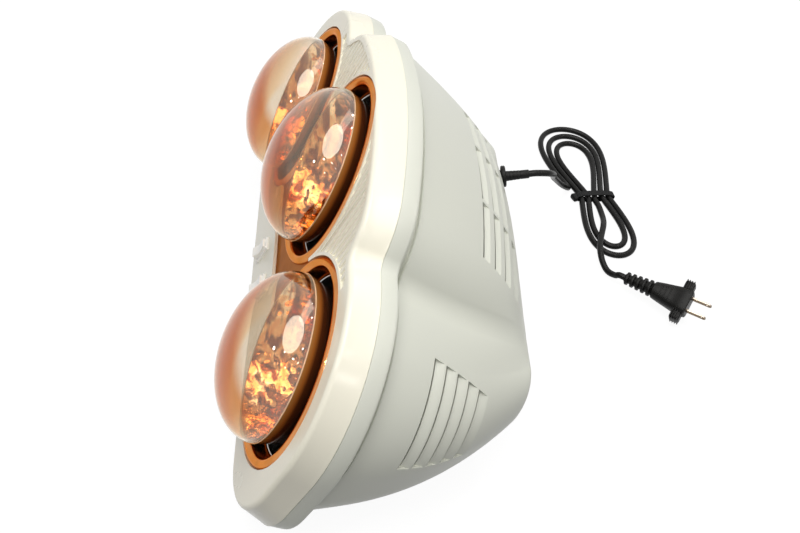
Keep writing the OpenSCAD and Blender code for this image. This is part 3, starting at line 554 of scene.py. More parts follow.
rows = [(y, seam_half(d)) for y, d in (
    (seam_y + 0.15, 0.9), (seam_y + 0.5, 0.45), (seam_y + 1.2, 0.32), (band_y - 2.2, band_in), (band_y - 1.0, 0.75),
    (band_y - 0.35, 1.1), (band_y, 1.7))]
rows += [(band_y + y, tub_ring(share_at(band_y + y), d)) for y, d in (
    (0, 2.7), (0.3, 2.9), (4.6, 2.9), (5.0, 0.8), (5.6, 0))]
rows += [(depth_at(u), tub_ring(u, 0)) for u in [0.05 + 0.92 * i / 34 for i in range(35)]]
rim = wall * 1.8
rows += [(y, tub_ring(u, d)) for y, u, d in (
    (depth_at(0.985), 0.985, 0.1), (body_depth - 0.9, 0.995, 0.5), (body_depth - 0.25, 1, 1.3), (body_depth, 1, 2.4),
    (body_depth, 1, rim), (body_depth - 2.6, 1, rim), (body_depth - 2.6, 1, rim + 4),
    (body_depth - 5.1, 0.965, rim + 4))]
rows += [(depth_at(u), tub_ring(u, wall * (1 + 0.8 * u))) for u in (0.965, 0.9, 0.8, 0.68, 0.54, 0.4, 0.26, 0.14)]
rows += [(depth_at(u), tub_ring(u, 5.6)) for u in (0.06, 0.01)]
rows += [(band_y - 2.2, tub_half(5.6)), (band_y - 3, seam_half(1.4 + wall)), (seam_y + 0.15, seam_half(wall + 0.6))]
tub_mesh = skinned([whole(half, y) for y, half in rows], closed_rows=True)

louvre_y, louvre_pitch, louvre_rows, louvre_half, louvre_rib = 105.4, 14.2, 4, 88.0, 34.0
end_louvre_y, end_louvre_pitch, end_louvres = 74.0, 11.3, 5
end_louvre_x, end_louvre_z = 175.0, 20.0
arch_slit, arch_deep, end_slit, end_deep = 3.6, 2.5, 2.8, 2.8


def at_x(half, x):
    """Place along a half outline, in points, where it first reaches x."""
    for i, (a, b) in enumerate(zip(half, half[1:])):
        if b.x >= x:
            return i + max(0.0, x - a.x) / max(b.x - a.x, 1e-9)
    return len(half) - 1


def at_z(half, z):
    """Place along a half outline where the round end falls to z."""
    for i in range(lobe_at, len(half) - 1):
        a, b = half[i], half[i + 1]
        if a.y >= z >= b.y:
            return i + (a.y - z) / max(a.y - b.y, 1e-9)
    return side_at


def recess(corners, places):
    """A closed solid between lines on or under the tub's wall, each given by its depth y and its distance in from
    the surface; places tells for the outline at that depth where the points of a line stand, and on which side."""
    lines = []
    for y, d in corners:
        surface, moved = tub_ring(share_at(y), 0), tub_ring(share_at(y), d)
        line = []
        for s, side in places(surface):
            i = min(int(s), len(moved) - 2)
            p = mix(moved[i], moved[i + 1], s - i)
            line.append(on_table @ (Vector((side * p.x, y, p.y)) / 1000))
        lines.append(line)
    return skinned([list(row) for row in zip(*lines)])


def over_arch(x0, x1, n=10):
    """Places from x0 to x1 over the arch."""
    stops = [mix(x0, x1, k / n) for k in range(n + 1)]
    return lambda half: [(at_x(half, abs(x)), math.copysign(1, x)) for x in stops]


def round_end(side, x, z, n=14):
    """Places round one end, from x on its upper side down to z."""
    return lambda half: [(mix(at_x(half[:side_at], x), at_z(half, z), k / n), side) for k in range(n + 1)]


def slat_cut(y0, width, slit, deep, places):
    """One louvre: a slit through the wall, and behind it a slat that rises to the surface over that width."""
    outside, inside = -8, 12
    return recess([(y0, outside), (y0 + width, outside), (y0 + width, -0.1), (y0 + slit, deep), (y0 + slit, inside),
                   (y0, inside)], places)


pads, cuts = [], []
for side in (-1, 1):
    last = end_louvre_y + end_louvres * end_louvre_pitch
    pads.append(recess([(end_louvre_y - 2.5, 1.2), (last + 2, 1.2), (last + 2, 6.4), (end_louvre_y - 2.5, 7.0)],
                       round_end(side, end_louvre_x - 3, end_louvre_z - 3)))
    for i in range(end_louvres):
        cuts.append(slat_cut(end_louvre_y + i * end_louvre_pitch, end_louvre_pitch * 0.88, end_slit, end_deep,
                             round_end(side, end_louvre_x, end_louvre_z)))
rib_half = 1.6
for i in range(louvre_rows):
    for x0, x1 in ((-louvre_half, -louvre_rib - rib_half), (rib_half - louvre_rib, louvre_rib - rib_half),
                   (louvre_rib + rib_half, louvre_half)):
        cuts.append(slat_cut(louvre_y + i * louvre_pitch, louvre_pitch * 0.62, arch_slit, arch_deep, over_arch(x0, x1)))


def evaluated(made):
    """The plain mesh of an object with its modifiers worked out; the object is then removed."""
    bpy.context.view_layer.update()
    mesh = bpy.data.meshes.new_from_object(made.evaluated_get(bpy.context.evaluated_depsgraph_get()))
    bpy.data.objects.remove(made)
    return mesh


def cut_and_join(mesh, cutters, operation):
    """The mesh after joining the other closed meshes to it, or cutting them out of it."""
    base, other = put("cutting", mesh), put("cutter", joined(*cutters))
    step = base.modifiers.new("cut", "BOOLEAN")
    step.object, step.operation, step.solver, step.use_self = other, operation, "EXACT", True
    made = evaluated(base)
    bpy.data.objects.remove(other)
    return made


tub_mesh = cut_and_join(tub_mesh, pads, "UNION")
tub_mesh = cut_and_join(tub_mesh, cuts, "DIFFERENCE")
housing_grey = moulded("housing_grey", (215, 217, 206), 0.38, clouding=0.012, grain=1600, depth=0.05, dust=0.05)
new_piece("housing", tub_mesh, housing_grey, stands_for=("rear_housing",), crease=24)

# Sleeve: black rubber grommet in the housing's sloping back, with a thick flange and a tapering guard for the lead.
# It is one moulding, turned about the lead's axis.


def turned(profile, place=Matrix(), n=96):
    """A closed body turned about its own Y; profile is a closed line of (radius, depth) in millimetres."""
    return skinned([[place @ (Vector((r * math.cos(a), y, r * math.sin(a))) / 1000) for r, y in profile]
                    for a in steps_round(n)], closed_rows=True)


sleeve_line = [(3.05, 18.5), (3.05, -8.6), (6.9, -8.6), (7.2, -8.3), (7.2, -6.9), (7.0, -6.6), (6.0, -6.6), (6.0, 0),
               (8.6, 0), (9.4, 0.3), (9.7, 0.9), (9.7, 3.0), (9.4, 3.7), (8.8, 4), (5.2, 4), (4.75, 4.3), (4.6, 4.9)]
for i in range(4):
    start, top = 7 + 3.2 * i, 4.5 - 0.15 * i
    sleeve_line += [(top, start), (top - 0.22, start + 0.2), (top - 0.22, start + 0.7), (top - 0.03, start + 0.9)]
sleeve_line += [(3.95, 24.4), (3.7, 25.0), (0, 25.0), (0, 18.5)]
sleeve_place = on_table @ Matrix.Translation(grommet_at) @ Matrix.Rotation(sleeve_tilt, 4, "X")
new_piece("cord_sleeve", turned(sleeve_line, sleeve_place, 48), plug_black,
          stands_for=("cord_grommet",))

# Front frame: cream moulded tray, rounded along its front edge and drafted to the seam, with a window for the copper
# plate, two switch holes and a sunk, ribbed panel on each shoulder.
edge_r, panel_depth, frame_draft = 4.0, 1.8, 4.0
plate_foot, ring_r = 42.5, 78.0
lamps = {"left": (-lamp_pitch, 0.0), "middle": (0.0, lamp_rise), "right": (lamp_pitch, 0.0)}
switch_x, switch_z = 22.0, -68.0
cream = moulded("frame_cream", (240, 236, 219), 0.24, clouding=0.012, grain=1500, depth=0.03, dust=0.03)


def face_half(d):
    return lobed_half(arch_top - 8.3, shoulder_r - 6, 16, end_r - frame_draft, corner_r + frame_draft,
                      foot_drop - 3, d)


def level(points, y):
    """Points of the front's plane in millimetres, at depth y, in metres."""
    return [Vector((p[0], y, p[1])) / 1000 for p in points]


def around(half):
    return half + [Vector((-p.x, p.y)) for p in half[-2:0:-1]]


def prism(points, y0, y1):
    """A straight-sided solid of that outline from depth y0 to depth y1."""
    return skinned([level(points, y0), level(points, y1)])


def disc(centre, r, y0, y1, n=192):
    return prism([(centre[0] + r * math.cos(a), centre[1] + r * math.sin(a)) for a in steps_round(n)], y0, y1)


def block(x0, x1, z0, z1, y0, y1):
    return prism([(x0, z0), (x1, z0), (x1, z1), (x0, z1)], y0, y1)


def plate_window(d, y0, y1):
    """The copper plate's outline moved out by d: three discs and what is between them."""
    reach = lamp_pitch - math.sqrt(ring_r ** 2 - plate_foot ** 2)
    return [disc(c, ring_r + d, y0, y1) for c in lamps.values()] + [
        block(-reach - d, reach + d, -plate_foot - d, lamp_rise / 2, y0, y1)]


def shoulder_panel(d, y0, y1, side):
    """The sunk panel on one shoulder, moved in by d."""
    field = prism(around(face_half(7 + d)), y0, y1)
    x0, x1 = sorted((side * (lamp_pitch * 0.28 + d), side * lamp_pitch))
    field = cut_and_join(field, [block(x0, x1, 30 + d, 150, y0 - 1, y1 + 1)], "INTERSECT")
    return cut_and_join(field, [disc(c, ring_r + 3 + d, y0 - 1, y1 + 1) for c in lamps.values()], "DIFFERENCE")


tray = [(wall, face_half(edge_r)), (edge_r, face_half(wall)), (seam_y, seam_half(wall)), (seam_y, seam_half(0.3)),
        (seam_y - 0.3, seam_half(0.02))]
side_line = list(zip(seam_half(0), face_half(0)))
tray += [(y, [mix(a, b, t) for a, b in side_line]) for y, t in (
    (seam_y - 0.8, 0.05), (mix(seam_y, edge_r, 0.35), 0.35), (mix(seam_y, edge_r, 0.65), 0.65), (edge_r, 1))]
for k in range(1, 9):
    a = math.radians(90 * k / 8)
    tray.append((edge_r * (1 - math.sin(a)), face_half(edge_r * (1 - math.cos(a)))))
tray_mesh = skinned([level(around(half), y) for y, half in tray])
openings = plate_window(0.3, -1, 5)
openings += [block(side * switch_x - 7, side * switch_x + 7, switch_z - 10, switch_z + 10, -1, 5) for side in (-1, 1)]
tray_mesh = cut_and_join(tray_mesh, openings, "DIFFERENCE")
tray_mesh = cut_and_join(tray_mesh, [shoulder_panel(0, -1, panel_depth, side) for side in (-1, 1)], "DIFFERENCE")
tray_mesh.transform(on_table)
new_piece("front_tray", tray_mesh, cream, stands_for=("front_frame",), crease=30)


def new_tree(name, result, **kinds):
    """A geometry node tree with those inputs and one result, the two ways to work in it, and what it is given."""
    tree = bpy.data.node_groups.new(name, "GeometryNodeTree")
    sockets(tree, "INPUT", **kinds)
    sockets(tree, "OUTPUT", **{result: "Geometry"})
    add, feed = node_kit(tree, "GeometryNode")
    return tree, add, feed, add("NodeGroupInput").outputs


def copies(add, points, piece):
    """Real copies of an object, one on every point."""
    source = add("ObjectInfo", {"Object": piece}).outputs["Geometry"]
    return add("RealizeInstances", {"Geometry": add("InstanceOnPoints", {"Points": points, "Instance": source})})


def rib_tree():
    """Geometry nodes: a row of ribs along X, trimmed to the solid they are given, in one material."""
    tree, add, feed, given = new_tree("rib_row", "Ribs", Field="Geometry", Rib="Object", Count="Int", First="Vector",
                                      Step="Vector", Finish="Material")
    row = add("MeshLine", {"Count": given["Count"], "Start Location": given["First"], "Offset": given["Step"]})
    trim = add("MeshBoolean", {"Mesh 2": copies(add, row, given["Rib"])}, operation="INTERSECT", solver="EXACT")
    feed(trim.inputs["Mesh 2"], given["Field"])
    add("NodeGroupOutput", {"Ribs": add("SetMaterial", {"Geometry": trim, "Material": given["Finish"]})})
    return tree


def grown(mesh, tree, values):
    """The plain mesh that a geometry node tree makes of a mesh, with its named inputs set."""
    made = put("growing", mesh)
    step = made.modifiers.new("nodes", "NODES")
    step.node_group = tree
    for socket in tree.interface.items_tree:
        if socket.item_type == "SOCKET" and socket.name in values:
            step[socket.identifier] = values[socket.name]
    return evaluated(made)


rib_pitch = 7.2
bar_line = ((-2.3, 1.95), (-2.0, 1.0), (-1.5, 0.66), (-0.8, 0.56), (0.8, 0.56), (1.5, 0.66), (2.0, 1.0), (2.3, 1.95))
bar = put("rib_bar", skinned([[Vector((x, y, z)) / 1000 for x, y in bar_line] for z in (20, 160)]))
ribs = rib_tree()
rib_meshes = []
for side in (-1, 1):
    field = shoulder_panel(0.02, 0.2, panel_depth + 0.1, side)
    rib_meshes.append(grown(field, ribs, {
        "Rib": bar, "Count": 14, "First": (side * rib_pitch * 6.25 / 1000, 0, 0),
        "Step": (side * rib_pitch / 1000, 0, 0), "Finish": cream}))
bpy.data.objects.remove(bar)
rib_mesh = joined(*rib_meshes)
rib_mesh.transform(on_table)
new_piece("panel_ribs", rib_mesh, cream, crease=40)

# Copper trim: a thin plated plate behind the window, with a half-round ring round each lamp.
# Plate and rings are bright copper plating; the flat plate has a darker copy of the copper as painted shade, and is
# cloudy.
ring_bore, ring_w, ring_h = 140.0, 8.0, 4.0
lacquer = {"Coat_Weight": 0.15, "Coat_Roughness": 0.08}
ring_copper = bare_metal("ring_copper", (210, 142, 88), 0.17, patchy=0.07, Specular_Tint=shade((236, 188, 146)),
                         **lacquer)
# Painted shade: the plate's copper is a darker copy of the rings', standing for the shade on the sunk flat.
plate_copper_painted_shade = bare_metal("plate_copper_painted_shade", (162, 114, 74), 0.3, patchy=0.06, Specular_Tint=shade((200, 156, 116)),
                          **lacquer)
plate_mesh = prism(around(face_half(edge_r + 0.6)), wall, wall + 2)
plate_mesh = cut_and_join(plate_mesh, plate_window(2.5, wall - 1, wall + 3), "INTERSECT")
plate_mesh = cut_and_join(plate_mesh, [disc(c, ring_r - ring_w / 2, 0, 8) for c in lamps.values()], "DIFFERENCE")
for face in plate_mesh.polygons:
    face.material_index = 1
inner = ring_bore / 2
ring_line = [(inner + ring_w / 2 * (1 + math.cos(math.pi * i / 20)), 3 - ring_h * math.sin(math.pi * i / 20))
             for i in range(21)]
ring_line += [(inner + r, y) for r, y in (
    (0, 6), (0, 10), (0.1, 15.5), (0.5, 16), (1.2, 16), (1.6, 15.6), (2.2, 4.8))] + [(ring_r - 0.2, 4.8), (ring_r, 4.6)]


def face_at(x, z):
    """A place in the front's plane, given in millimetres."""
    return Matrix.Translation((x / 1000, 0, z / 1000))


trim_mesh = joined(plate_mesh, *[turned(ring_line, face_at(x, z), 192) for x, z in lamps.values()])
trim_mesh.transform(on_table)
new_piece("copper_trim", trim_mesh, [ring_copper, plate_copper_painted_shade], stands_for=("bezel_plate",),
          crease=35)

# Reflector collars: bright spun aluminium cones with a rolled lip, one behind each copper ring.
# Their lips show as a thin pale line inside the rings.
spun = bare_metal("spun_aluminium", (214, 214, 212), 0.2, patchy=0.03)
collar_line = [(inner + r, y) for r, y in (
    (2.5, 16.2), (2.5, 17), (-1, 17), (-6.2, 58), (-6.6, 58.3), (-7, 58), (-1.9, 17.2), (-1.9, 15.2), (-1.7, 14.3),
    (-1.3, 14), (-0.9, 14.3), (-0.8, 15.4), (-0.9, 16.2))]
for name, (x, z) in lamps.items():
    new_piece("collar_" + name, turned(collar_line, on_table @ face_at(x, z), 144), spun,
              stands_for=("reflector_" + name,), crease=40)

# Bulbs: each has a copper-tinted, half-mirrored glass dome in front of a copper-mirrored back, dimpled inside.
# Glass and mirror meet at the widest place; the neck goes into its screw cap.
bulb_r, dome_l, bulb_y, neck_r, neck_y, cap_y = 62.5, 39.3, -8.1, 19.5, 96.0, 107.6


def dome_point(a, d):
    return ((bulb_r - d) * math.sin(a), bulb_y - (dome_l - d) * math.cos(a))


def back_point(t, d):
    return (math.sqrt(mix(bulb_r ** 2, neck_r ** 2, t)) - d, mix(bulb_y, neck_y, t))


def down_the_lamp(add, y0, y1):
    """0 at depth y0 of the lamps and 1 at depth y1, in millimetres, as a shader value."""
    back = on_table.to_3x3() @ Vector((0, 1, 0))
    start = on_table.translation.dot(back)
    depth = add("VectorMath", {0: add("TexCoord").outputs["Object"], 1: back}, operation="DOT_PRODUCT")
    return span(add, depth, start + y0 / 1000, start + y1 / 1000, kind="LINEAR")


def facing(add, way, low, high):
    """Rises from 0 to 1 where the surface turns towards a direction."""
    toward = add("VectorMath", {0: add("NewGeometry").outputs["Normal"], 1: way}, operation="DOT_PRODUCT")
    return span(add, toward, low, high)


def dome_glass():
    """Thin glass with a copper vapour coat, full at the tip and gone at the rim, and painted paler where it faces up,
    as a painted reflection of the light above.
    """
    add, finish = node_material("dome_glass")
    tint = colours(add, down_the_lamp(add, bulb_y - dome_l, bulb_y), (0.0, (214, 142, 82)), (0.4, (224, 160, 98)),
                   (0.7, (244, 212, 170)), (1.0, (255, 244, 230)))
    # Painted reflection: the upper part of the dome, which faces the light above, is painted pale.
    painted_sky_sheen = facing(add, (0.35, 0.0, 0.94), 0.5, 0.68)
    return finish(Base_Color=over(add, painted_sky_sheen, tint, (246, 238, 224)), Metallic=0.08, Roughness=0.02, IOR=1.34,
                  Transmission_Weight=1.0, Normal=bumps(add, noise(add, 38.0), 0.06, 0.0008))


def outer_coat():
    """Copper coat on the outside of the bulb's back, orange at the rim, with painted shade darkening it to deep brown
    behind the rim, where it lies in the gap's shadow.
    """
    add, finish = node_material("mirror_outside")
    # Painted shade: the coat darkens away from the rim, standing for the shadow in the gap behind the ring.
    tone = colours(add, down_the_lamp(add, bulb_y, bulb_y + 12), (0.0, (255, 184, 104)), (0.3, (238, 142, 62)),
                   (0.55, (120, 64, 32)), (1.0, (70, 40, 26)))
    return finish(Base_Color=tone, Metallic=0.6, Roughness=0.12, Normal=bumps(add, noise(add, 90.0), 0.2, 0.0006))


def dimpled_mirror():
    """Golden copper mirror inside the bulb's back, wavy, with scattered round dimples that each catch the light and
    whose middles are painted white as glints;
    painted dark streaks stand for dark reflections, and the upper inside is painted pale as a reflection of the light
    above."""
    add, finish = node_material("mirror_inside")
    place = add("TexCoord").outputs["Object"]
    cells = add("TexVoronoi", {"Vector": place, "Scale": 560.0})
    chance = add("SeparateColor", {"Color": cells.outputs["Color"]}).outputs["Red"]
    size = span(add, chance, 0.3, 1.0, 0.08, 1.0, "LINEAR")
    spot = add("Math", {0: cells.outputs["Distance"], 1: size}, operation="DIVIDE")
    relief = add("Math", {0: span(add, spot, 0.0, 0.55), 1: 0.16, 2: noise(add, 75.0, 1.0)}, operation="MULTIPLY_ADD")
    film = colours(add, down_the_lamp(add, bulb_y, bulb_y + 60), (0.0, (255, 238, 205)), (0.35, (240, 184, 116)),
                   (1.0, (196, 130, 78)))
    # Painted highlights: the middles of the dimples are painted near white as glints.
    painted_glints = over(add, span(add, spot, 0.46, 0.3), film, (255, 252, 242))
    # Painted reflection: where the inside faces down, towards the light above, the film is painted pale silver.
    painted_sky_reflection = over(add, facing(add, (-0.3, 0.0, -0.95), 0.2, 0.5), painted_glints, (238, 240, 234))
    # Painted reflection: dark streaks along the lamp's axis stand for dark reflections in the mirror.
    stretch = add("Mapping", {"Vector": place, "Scale": (130, 130, 14)})
    painted_dark_streaks = add("TexNoise", {"Vector": stretch, "Scale": 1.0, "Detail": 2.0, "Distortion": 0.6})
    return finish(Base_Color=over(add, span(add, painted_dark_streaks, 0.44, 0.62), painted_sky_reflection, (132, 76, 40), "MULTIPLY"),
                  Metallic=1.0, Roughness=0.05, Normal=bumps(add, relief, 1.0, 0.0016))


glass_dome = dome_glass()
coats = [outer_coat(), dimpled_mirror()]
weld_glass = moulded("weld_glass", (240, 206, 172), 0.12, clouding=0.05, grain=300, depth=0.2)
glass_t = 1.2
quarter = [math.pi / 2 * i / 28 for i in range(29)]
dome_line = [(0, bulb_y - dome_l)] + [dome_point(a, 0) for a in quarter[1:]] + [(bulb_r - glass_t, bulb_y)]
dome_line += [dome_point(a, glass_t) for a in reversed(quarter[1:-1])] + [(0, bulb_y - dome_l + glass_t)]
backward = [i / 36 for i in range(37)]
back_line = [back_point(t, 0.02) for t in backward]
back_line += [(neck_r, cap_y - 6), (15, cap_y - 2), (12, cap_y - 0.5), (0, cap_y - 0.5), (0, cap_y - 1.6),
              (11, cap_y - 1.6), (14, cap_y - 3.1), (neck_r - glass_t, cap_y - 7)]
back_line += [back_point(t, glass_t) for t in reversed(backward)]
weld_line = [(bulb_r - 0.55 + 0.55 * math.cos(a), bulb_y + 0.6 * math.sin(a)) for a in steps_round(12)]
for name, (x, z) in lamps.items():
    place = on_table @ face_at(x, z)
    new_piece("dome_" + name, turned(dome_line, place, 128), glass_dome, body="bulb_" + name,
              stands_for=("bulb_" + name,))
    back = turned(back_line, n=128)
    for face in back.polygons:
        y, r = face.center.y * 1000, math.hypot(face.center.x, face.center.z) * 1000
        t = min(1, max(0, (y - bulb_y) / (neck_y - bulb_y)))
        inside = face.normal.x * face.center.x + face.normal.z * face.center.z < 0 or y < bulb_y + 0.01
        face.material_index = 1 if inside and r < back_point(t, 0.5)[0] else 0
    back.transform(place)
    new_piece("mirror_" + name, back, coats, body="bulb_" + name)
    new_piece("weld_" + name, turned(weld_line, place, 128), weld_glass, body="bulb_" + name)

# Rocker switches: glossy white, each a bezel with a deep pocket and a rocker that turns in it on a pivot.
# They sit side by side under the middle lamp and rest at off.
switch_w, switch_h, bezel_h = 15.0, 21.0, 2.0
rocker_w, rocker_reach, rocker_swing = 10.4, 8.3, 22.0
switch_white = moulded("switch_white", (249, 248, 243), 0.18, clouding=0.01, grain=1500, depth=0.02, dust=0.02)


def round_rect(w, h, r, y, n=8):
    """A rounded rectangle of the front's plane at depth y."""
    points = []
    for cx, cz, a0 in ((1, 1, 0), (-1, 1, 90), (-1, -1, 180), (1, -1, 270)):
        for i in range(n + 1):
            a = math.radians(a0 + 90 * i / n)
            points.append((cx * (w / 2 - r) + r * math.cos(a), cz * (h / 2 - r) + r * math.sin(a)))
    return level(points, y)


pocket_w, pocket_h = rocker_w + 0.5, 2 * rocker_reach + 1.2
bezel_rows = [round_rect(*row) for row in (
    (switch_w - 1.6, switch_h - 1.6, 0.6, 15), (switch_w - 1.6, switch_h - 1.6, 0.6, 0.02),
    (switch_w, switch_h, 1.2, 0.02), (switch_w, switch_h, 1.2, 0.9 - bezel_h),
    (switch_w - 0.25, switch_h - 0.25, 1.1, 0.35 - bezel_h), (switch_w - 0.9, switch_h - 0.9, 0.9, -bezel_h),
    (pocket_w + 0.8, pocket_h + 0.8, 0.7, -bezel_h), (pocket_w + 0.2, pocket_h + 0.2, 0.5, 0.25 - bezel_h),
    (pocket_w, pocket_h, 0.4, 0.7 - bezel_h), (pocket_w, pocket_h, 0.4, 11))]
rocker_line = [(-6.5, 0.12 - rocker_reach), (-7.0, 0.4 - rocker_reach)]
rocker_line += [(-5.4 - 1.8 * (abs(z) / 7.6) ** 1.5, z) for z in [
    mix(0.75 - rocker_reach, rocker_reach - 0.75, i / 24) for i in range(25)]]
rocker_line += [(-7.0, rocker_reach - 0.4), (-6.5, rocker_reach - 0.12)]
rocker_line += [(rocker_reach * math.sin(math.radians(a)), rocker_reach * math.cos(math.radians(a)))
                for a in range(0, 181, 12)]
cap_rows = [(side * x, shrink) for side, x, shrink in (
    (-1, 0.5, 0.95), (-1, 0.488, 0.975), (-1, 0.465, 0.993), (-1, 0.43, 1),
    (1, 0.43, 1), (1, 0.465, 0.993), (1, 0.488, 0.975), (1, 0.5, 0.95))]
for name, side in (("left", -1), ("right", 1)):
    place = on_table @ face_at(side * switch_x, switch_z)
    bezel = skinned(bezel_rows)
    bezel.transform(place)
    new_piece("switch_bezel_" + name, bezel, switch_white, stands_for=("switch_body_" + name,))
    turn = place @ Matrix.Translation((0, 0.001, 0)) @ Matrix.Rotation(math.radians(-rocker_swing / 2), 4, "X")
    cap = skinned([[turn @ (Vector((x * rocker_w, y * shrink, z * shrink)) / 1000) for y, z in rocker_line]
                   for x, shrink in cap_rows])
    pins = skinned([[turn @ (Vector((x, 1.2 * math.cos(a), 1.2 * math.sin(a))) / 1000) for a in steps_round(16)]
                    for x in (-6.3, 6.3)])
    new_piece("rocker_cap_" + name, joined(cap, pins), switch_white, body="rocker_" + name,
              stands_for=("rocker_" + name,), crease=50)

# Screws: plated pan heads with a cross recess, set by geometry nodes at the frame, the chassis and the back plate.
# Each set is one piece, and stands for its CAD node.
screw_steel = bare_metal("screw_steel", (188, 190, 192), 0.3, patchy=0.03)


def screw_tree():
    """Geometry nodes: one screw on every point of a mesh, in one material."""
    tree, add, _, given = new_tree("screws_on_points", "Screws", Places="Geometry", Screw="Object", Finish="Material")
    screws = copies(add, given["Places"], given["Screw"])
    add("NodeGroupOutput", {"Screws": add("SetMaterial", {"Geometry": screws, "Material": given["Finish"]})})
    return tree


def cross_screw(shank):
    """A pan-head screw whose head starts at depth 0 and whose shank runs forward from there."""
    head = turned([(0, -shank), (1.1, -shank), (1.5, 0.6 - shank), (1.5, 0), (2.75, 0), (2.9, 0.15), (2.85, 0.7),
                   (2.5, 1.3), (1.9, 1.65), (1.2, 1.78), (0, 1.8)], n=40)
    arm, half, floor = 1.6, 0.32, 0.7
    cross = [block(-arm, arm, -half, half, floor, 3), block(-half, half, -arm, arm, floor, 3)]
    return cut_and_join(head, cross, "DIFFERENCE")


def mirrored(spots):
    return [(side * x, z) for side in (-1, 1) for x, z in spots]


boss_r = 4.6
boss_in = wall + boss_r + frame_draft + 1.1
corner_in = (corner_r - boss_in) * math.sqrt(0.5)
frame_spots = mirrored([
    (60, boss_in - foot_drop),
    (lamp_pitch + (end_r - boss_in) * math.cos(math.radians(44)), (end_r - boss_in) * math.sin(math.radians(44))),
    (lamp_pitch + end_r - corner_r + corner_in, corner_r - foot_drop - corner_in)])
back_spots = mirrored([(50, back_top - 11), (112, back_top - 11), (50, 11 - back_foot), (95, 11 - back_foot)])
chassis_spots = [(x + side * 17, z) for x, z in lamps.values() for side in (-1, 1)]
plate_y = body_depth - 3.4
rivet_line = [(r, plate_y + y) for r, y in (
    (0, -3.9), (2.6, -3.9), (3.3, -3.1), (3.4, -1.5), (2, -1.5), (2, 1.5), (0, 1.5))]
screws = screw_tree()
for node, spots, depth, shank in (("frame_screws", frame_spots, seam_y + 4, 14),
                                  ("back_screws", back_spots, plate_y + 1.5, 9.5),
                                  ("chassis_screws", chassis_spots, 153.5, 8.5)):
    one = put("one_screw", cross_screw(shank))
    places = bpy.data.meshes.new("places")
    places.from_pydata(level(spots, depth), [], [])
    made = grown(places, screws, {"Screw": one, "Finish": screw_steel})
    bpy.data.objects.remove(one)
    if node == "chassis_screws":
        made = joined(made, *[turned(rivet_line, face_at(side * 106, 1), 32) for side in (-1, 1)])
    made.transform(on_table)
    new_piece(node.replace("screws", "fixings"), made, screw_steel, stands_for=(node,))

# Inner pieces and back plate: these keep their CAD shapes and get finishes of their own.
# Painted steel back, zinc-plated chassis, glazed ceramic holders, brass caps and contacts, moulded block and clamp.


def painted_steel():
    """Satin paint on sheet steel with a fine orange peel."""
    add, finish = node_material("painted_steel")
    tone = colours(add, noise(add, 11.0, 5.0), (0.0, (190, 193, 188)), (1.0, (202, 205, 200)))
    return finish(Base_Color=tone, Roughness=0.42, Coat_Weight=0.15, Normal=bumps(add, noise(add, 520.0), 0.12, 0.0004))


finishes = {
    "back_plate": painted_steel(),
    "chassis_plate": bare_metal("zinc_plate", (176, 180, 184), 0.34, brushed=0.1, patchy=0.08),
    "lampholder": moulded("glazed_ceramic", (236, 230, 218), 0.16, clouding=0.03, grain=120, depth=0.08),
    "bulb_cap": bare_metal("cap_brass", (212, 184, 122), 0.26, patchy=0.06),
    "filament": bare_metal("tungsten", (150, 148, 146), 0.3, patchy=0.1),
    "holder_contacts": bare_metal("contact_brass", (206, 170, 100), 0.3, patchy=0.08),
    "terminal_block": moulded("block_plastic", (232, 228, 214), 0.45, clouding=0.03, grain=700, depth=0.12),
    "cord_clamp": moulded("clamp_plastic", (214, 213, 206), 0.5, clouding=0.03, grain=700, depth=0.15),
    "inner_leads": moulded("silicone_sleeve", (126, 58, 44), 0.5, clouding=0.12, grain=1400, depth=0.35),
}
for node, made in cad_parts.items():
    for start, finish in finishes.items():
        if node.startswith(start):
            made.data.materials.clear()
            made.data.materials.append(finish)

# Floor and light: a white floor that the background fades into, a large soft lamp from above on the camera's side,
# a weak one from behind, and a ring of small ones that glint in the dimples of the bulbs.


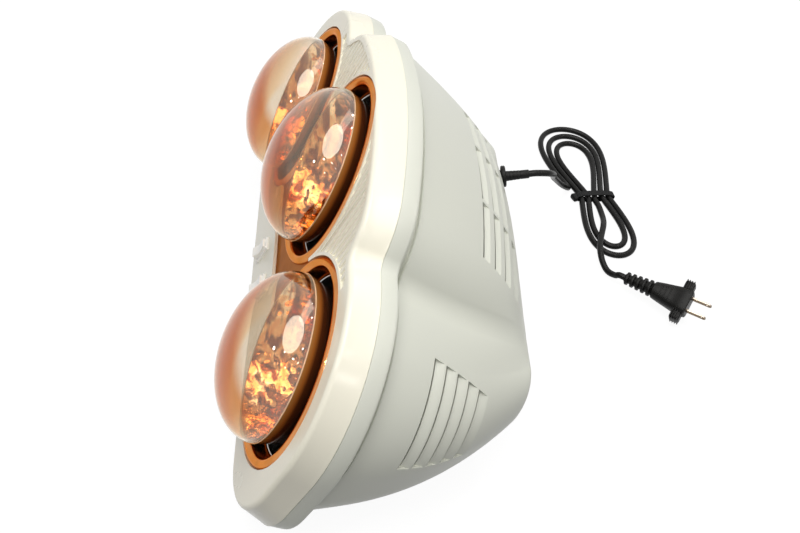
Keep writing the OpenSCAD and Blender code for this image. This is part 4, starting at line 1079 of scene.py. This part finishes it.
def seen_directly(add):
    """1 for what the camera sees, also in a mirror or through glass, and 0 for light that spreads."""
    rays = add("LightPath").outputs
    seen = add("Math", {0: rays["Is Camera Ray"], 1: rays["Is Glossy Ray"]}, operation="MAXIMUM")
    return add("Math", {0: seen, 1: rays["Is Transmission Ray"]}, operation="MAXIMUM")


def white_floor():
    """A floor that reads as white, with the object's shadow and no edge against the background."""
    add, finish = node_material("white_floor")
    tone = colours(add, noise(add, 8.0, 3.0), (0.0, (92, 92, 92)), (1.0, (96, 96, 96)))
    glow = add("Math", {0: seen_directly(add), 1: 0.93}, operation="MULTIPLY")
    return finish(Base_Color=tone, Roughness=0.9, Specular_IOR_Level=0.0, Emission_Color=(1, 1, 1, 1),
                  Emission_Strength=glow)


floor_mesh = bpy.data.meshes.new("floor")
floor_mesh.from_pydata([(-6, -6, 0), (6, -6, 0), (6, 6, 0), (-6, 6, 0)], [], [(0, 1, 2, 3)])
floor_mesh.materials.append(white_floor())
floor = put("floor", floor_mesh)

world = bpy.data.worlds.new("studio")
bpy.context.scene.world = world
world.use_nodes = True
world.node_tree.nodes.clear()
add, _ = node_kit(world.node_tree)
soft = add("Background", {"Color": (0.98, 0.99, 1, 1), "Strength": 0.26})
white = add("Background", {"Color": (1, 1, 1, 1), "Strength": 1.0})
add("OutputWorld", {"Surface": add("MixShader", {"Fac": seen_directly(add), 1: soft, 2: white})})


def soft_lamp(name, at, size, power, colour=(1, 0.99, 0.97), height=0.0):
    """An area lamp aimed at the object: round, or upright and as high as given."""
    lamp = bpy.data.lights.new(name, "AREA")
    lamp.shape = "RECTANGLE" if height else "DISK"
    lamp.size, lamp.size_y, lamp.energy, lamp.color = size, height or size, power, colour
    made = put(name, lamp)
    made.location = at
    made.rotation_euler = (Vector((0, 0, 0.12)) - Vector(at)).to_track_quat("-Z", "Y").to_euler()


soft_lamp("key", (0.25, -0.3, 1.9), 1.6, 23.8)
soft_lamp("window", (-0.6, 0.4, 1.6), 0.5, 3, (1, 0.995, 0.98), height=1.3)
for i in range(10):
    a, height = math.radians(25 * i - 80), 0.75 + 0.37 * (i * 4 % 7) / 3
    soft_lamp("glint_%d" % i, (0.15 + 0.9 * math.cos(a), 0.75 * math.sin(a), height), 0.035, 0.6, (1, 0.97, 0.92))
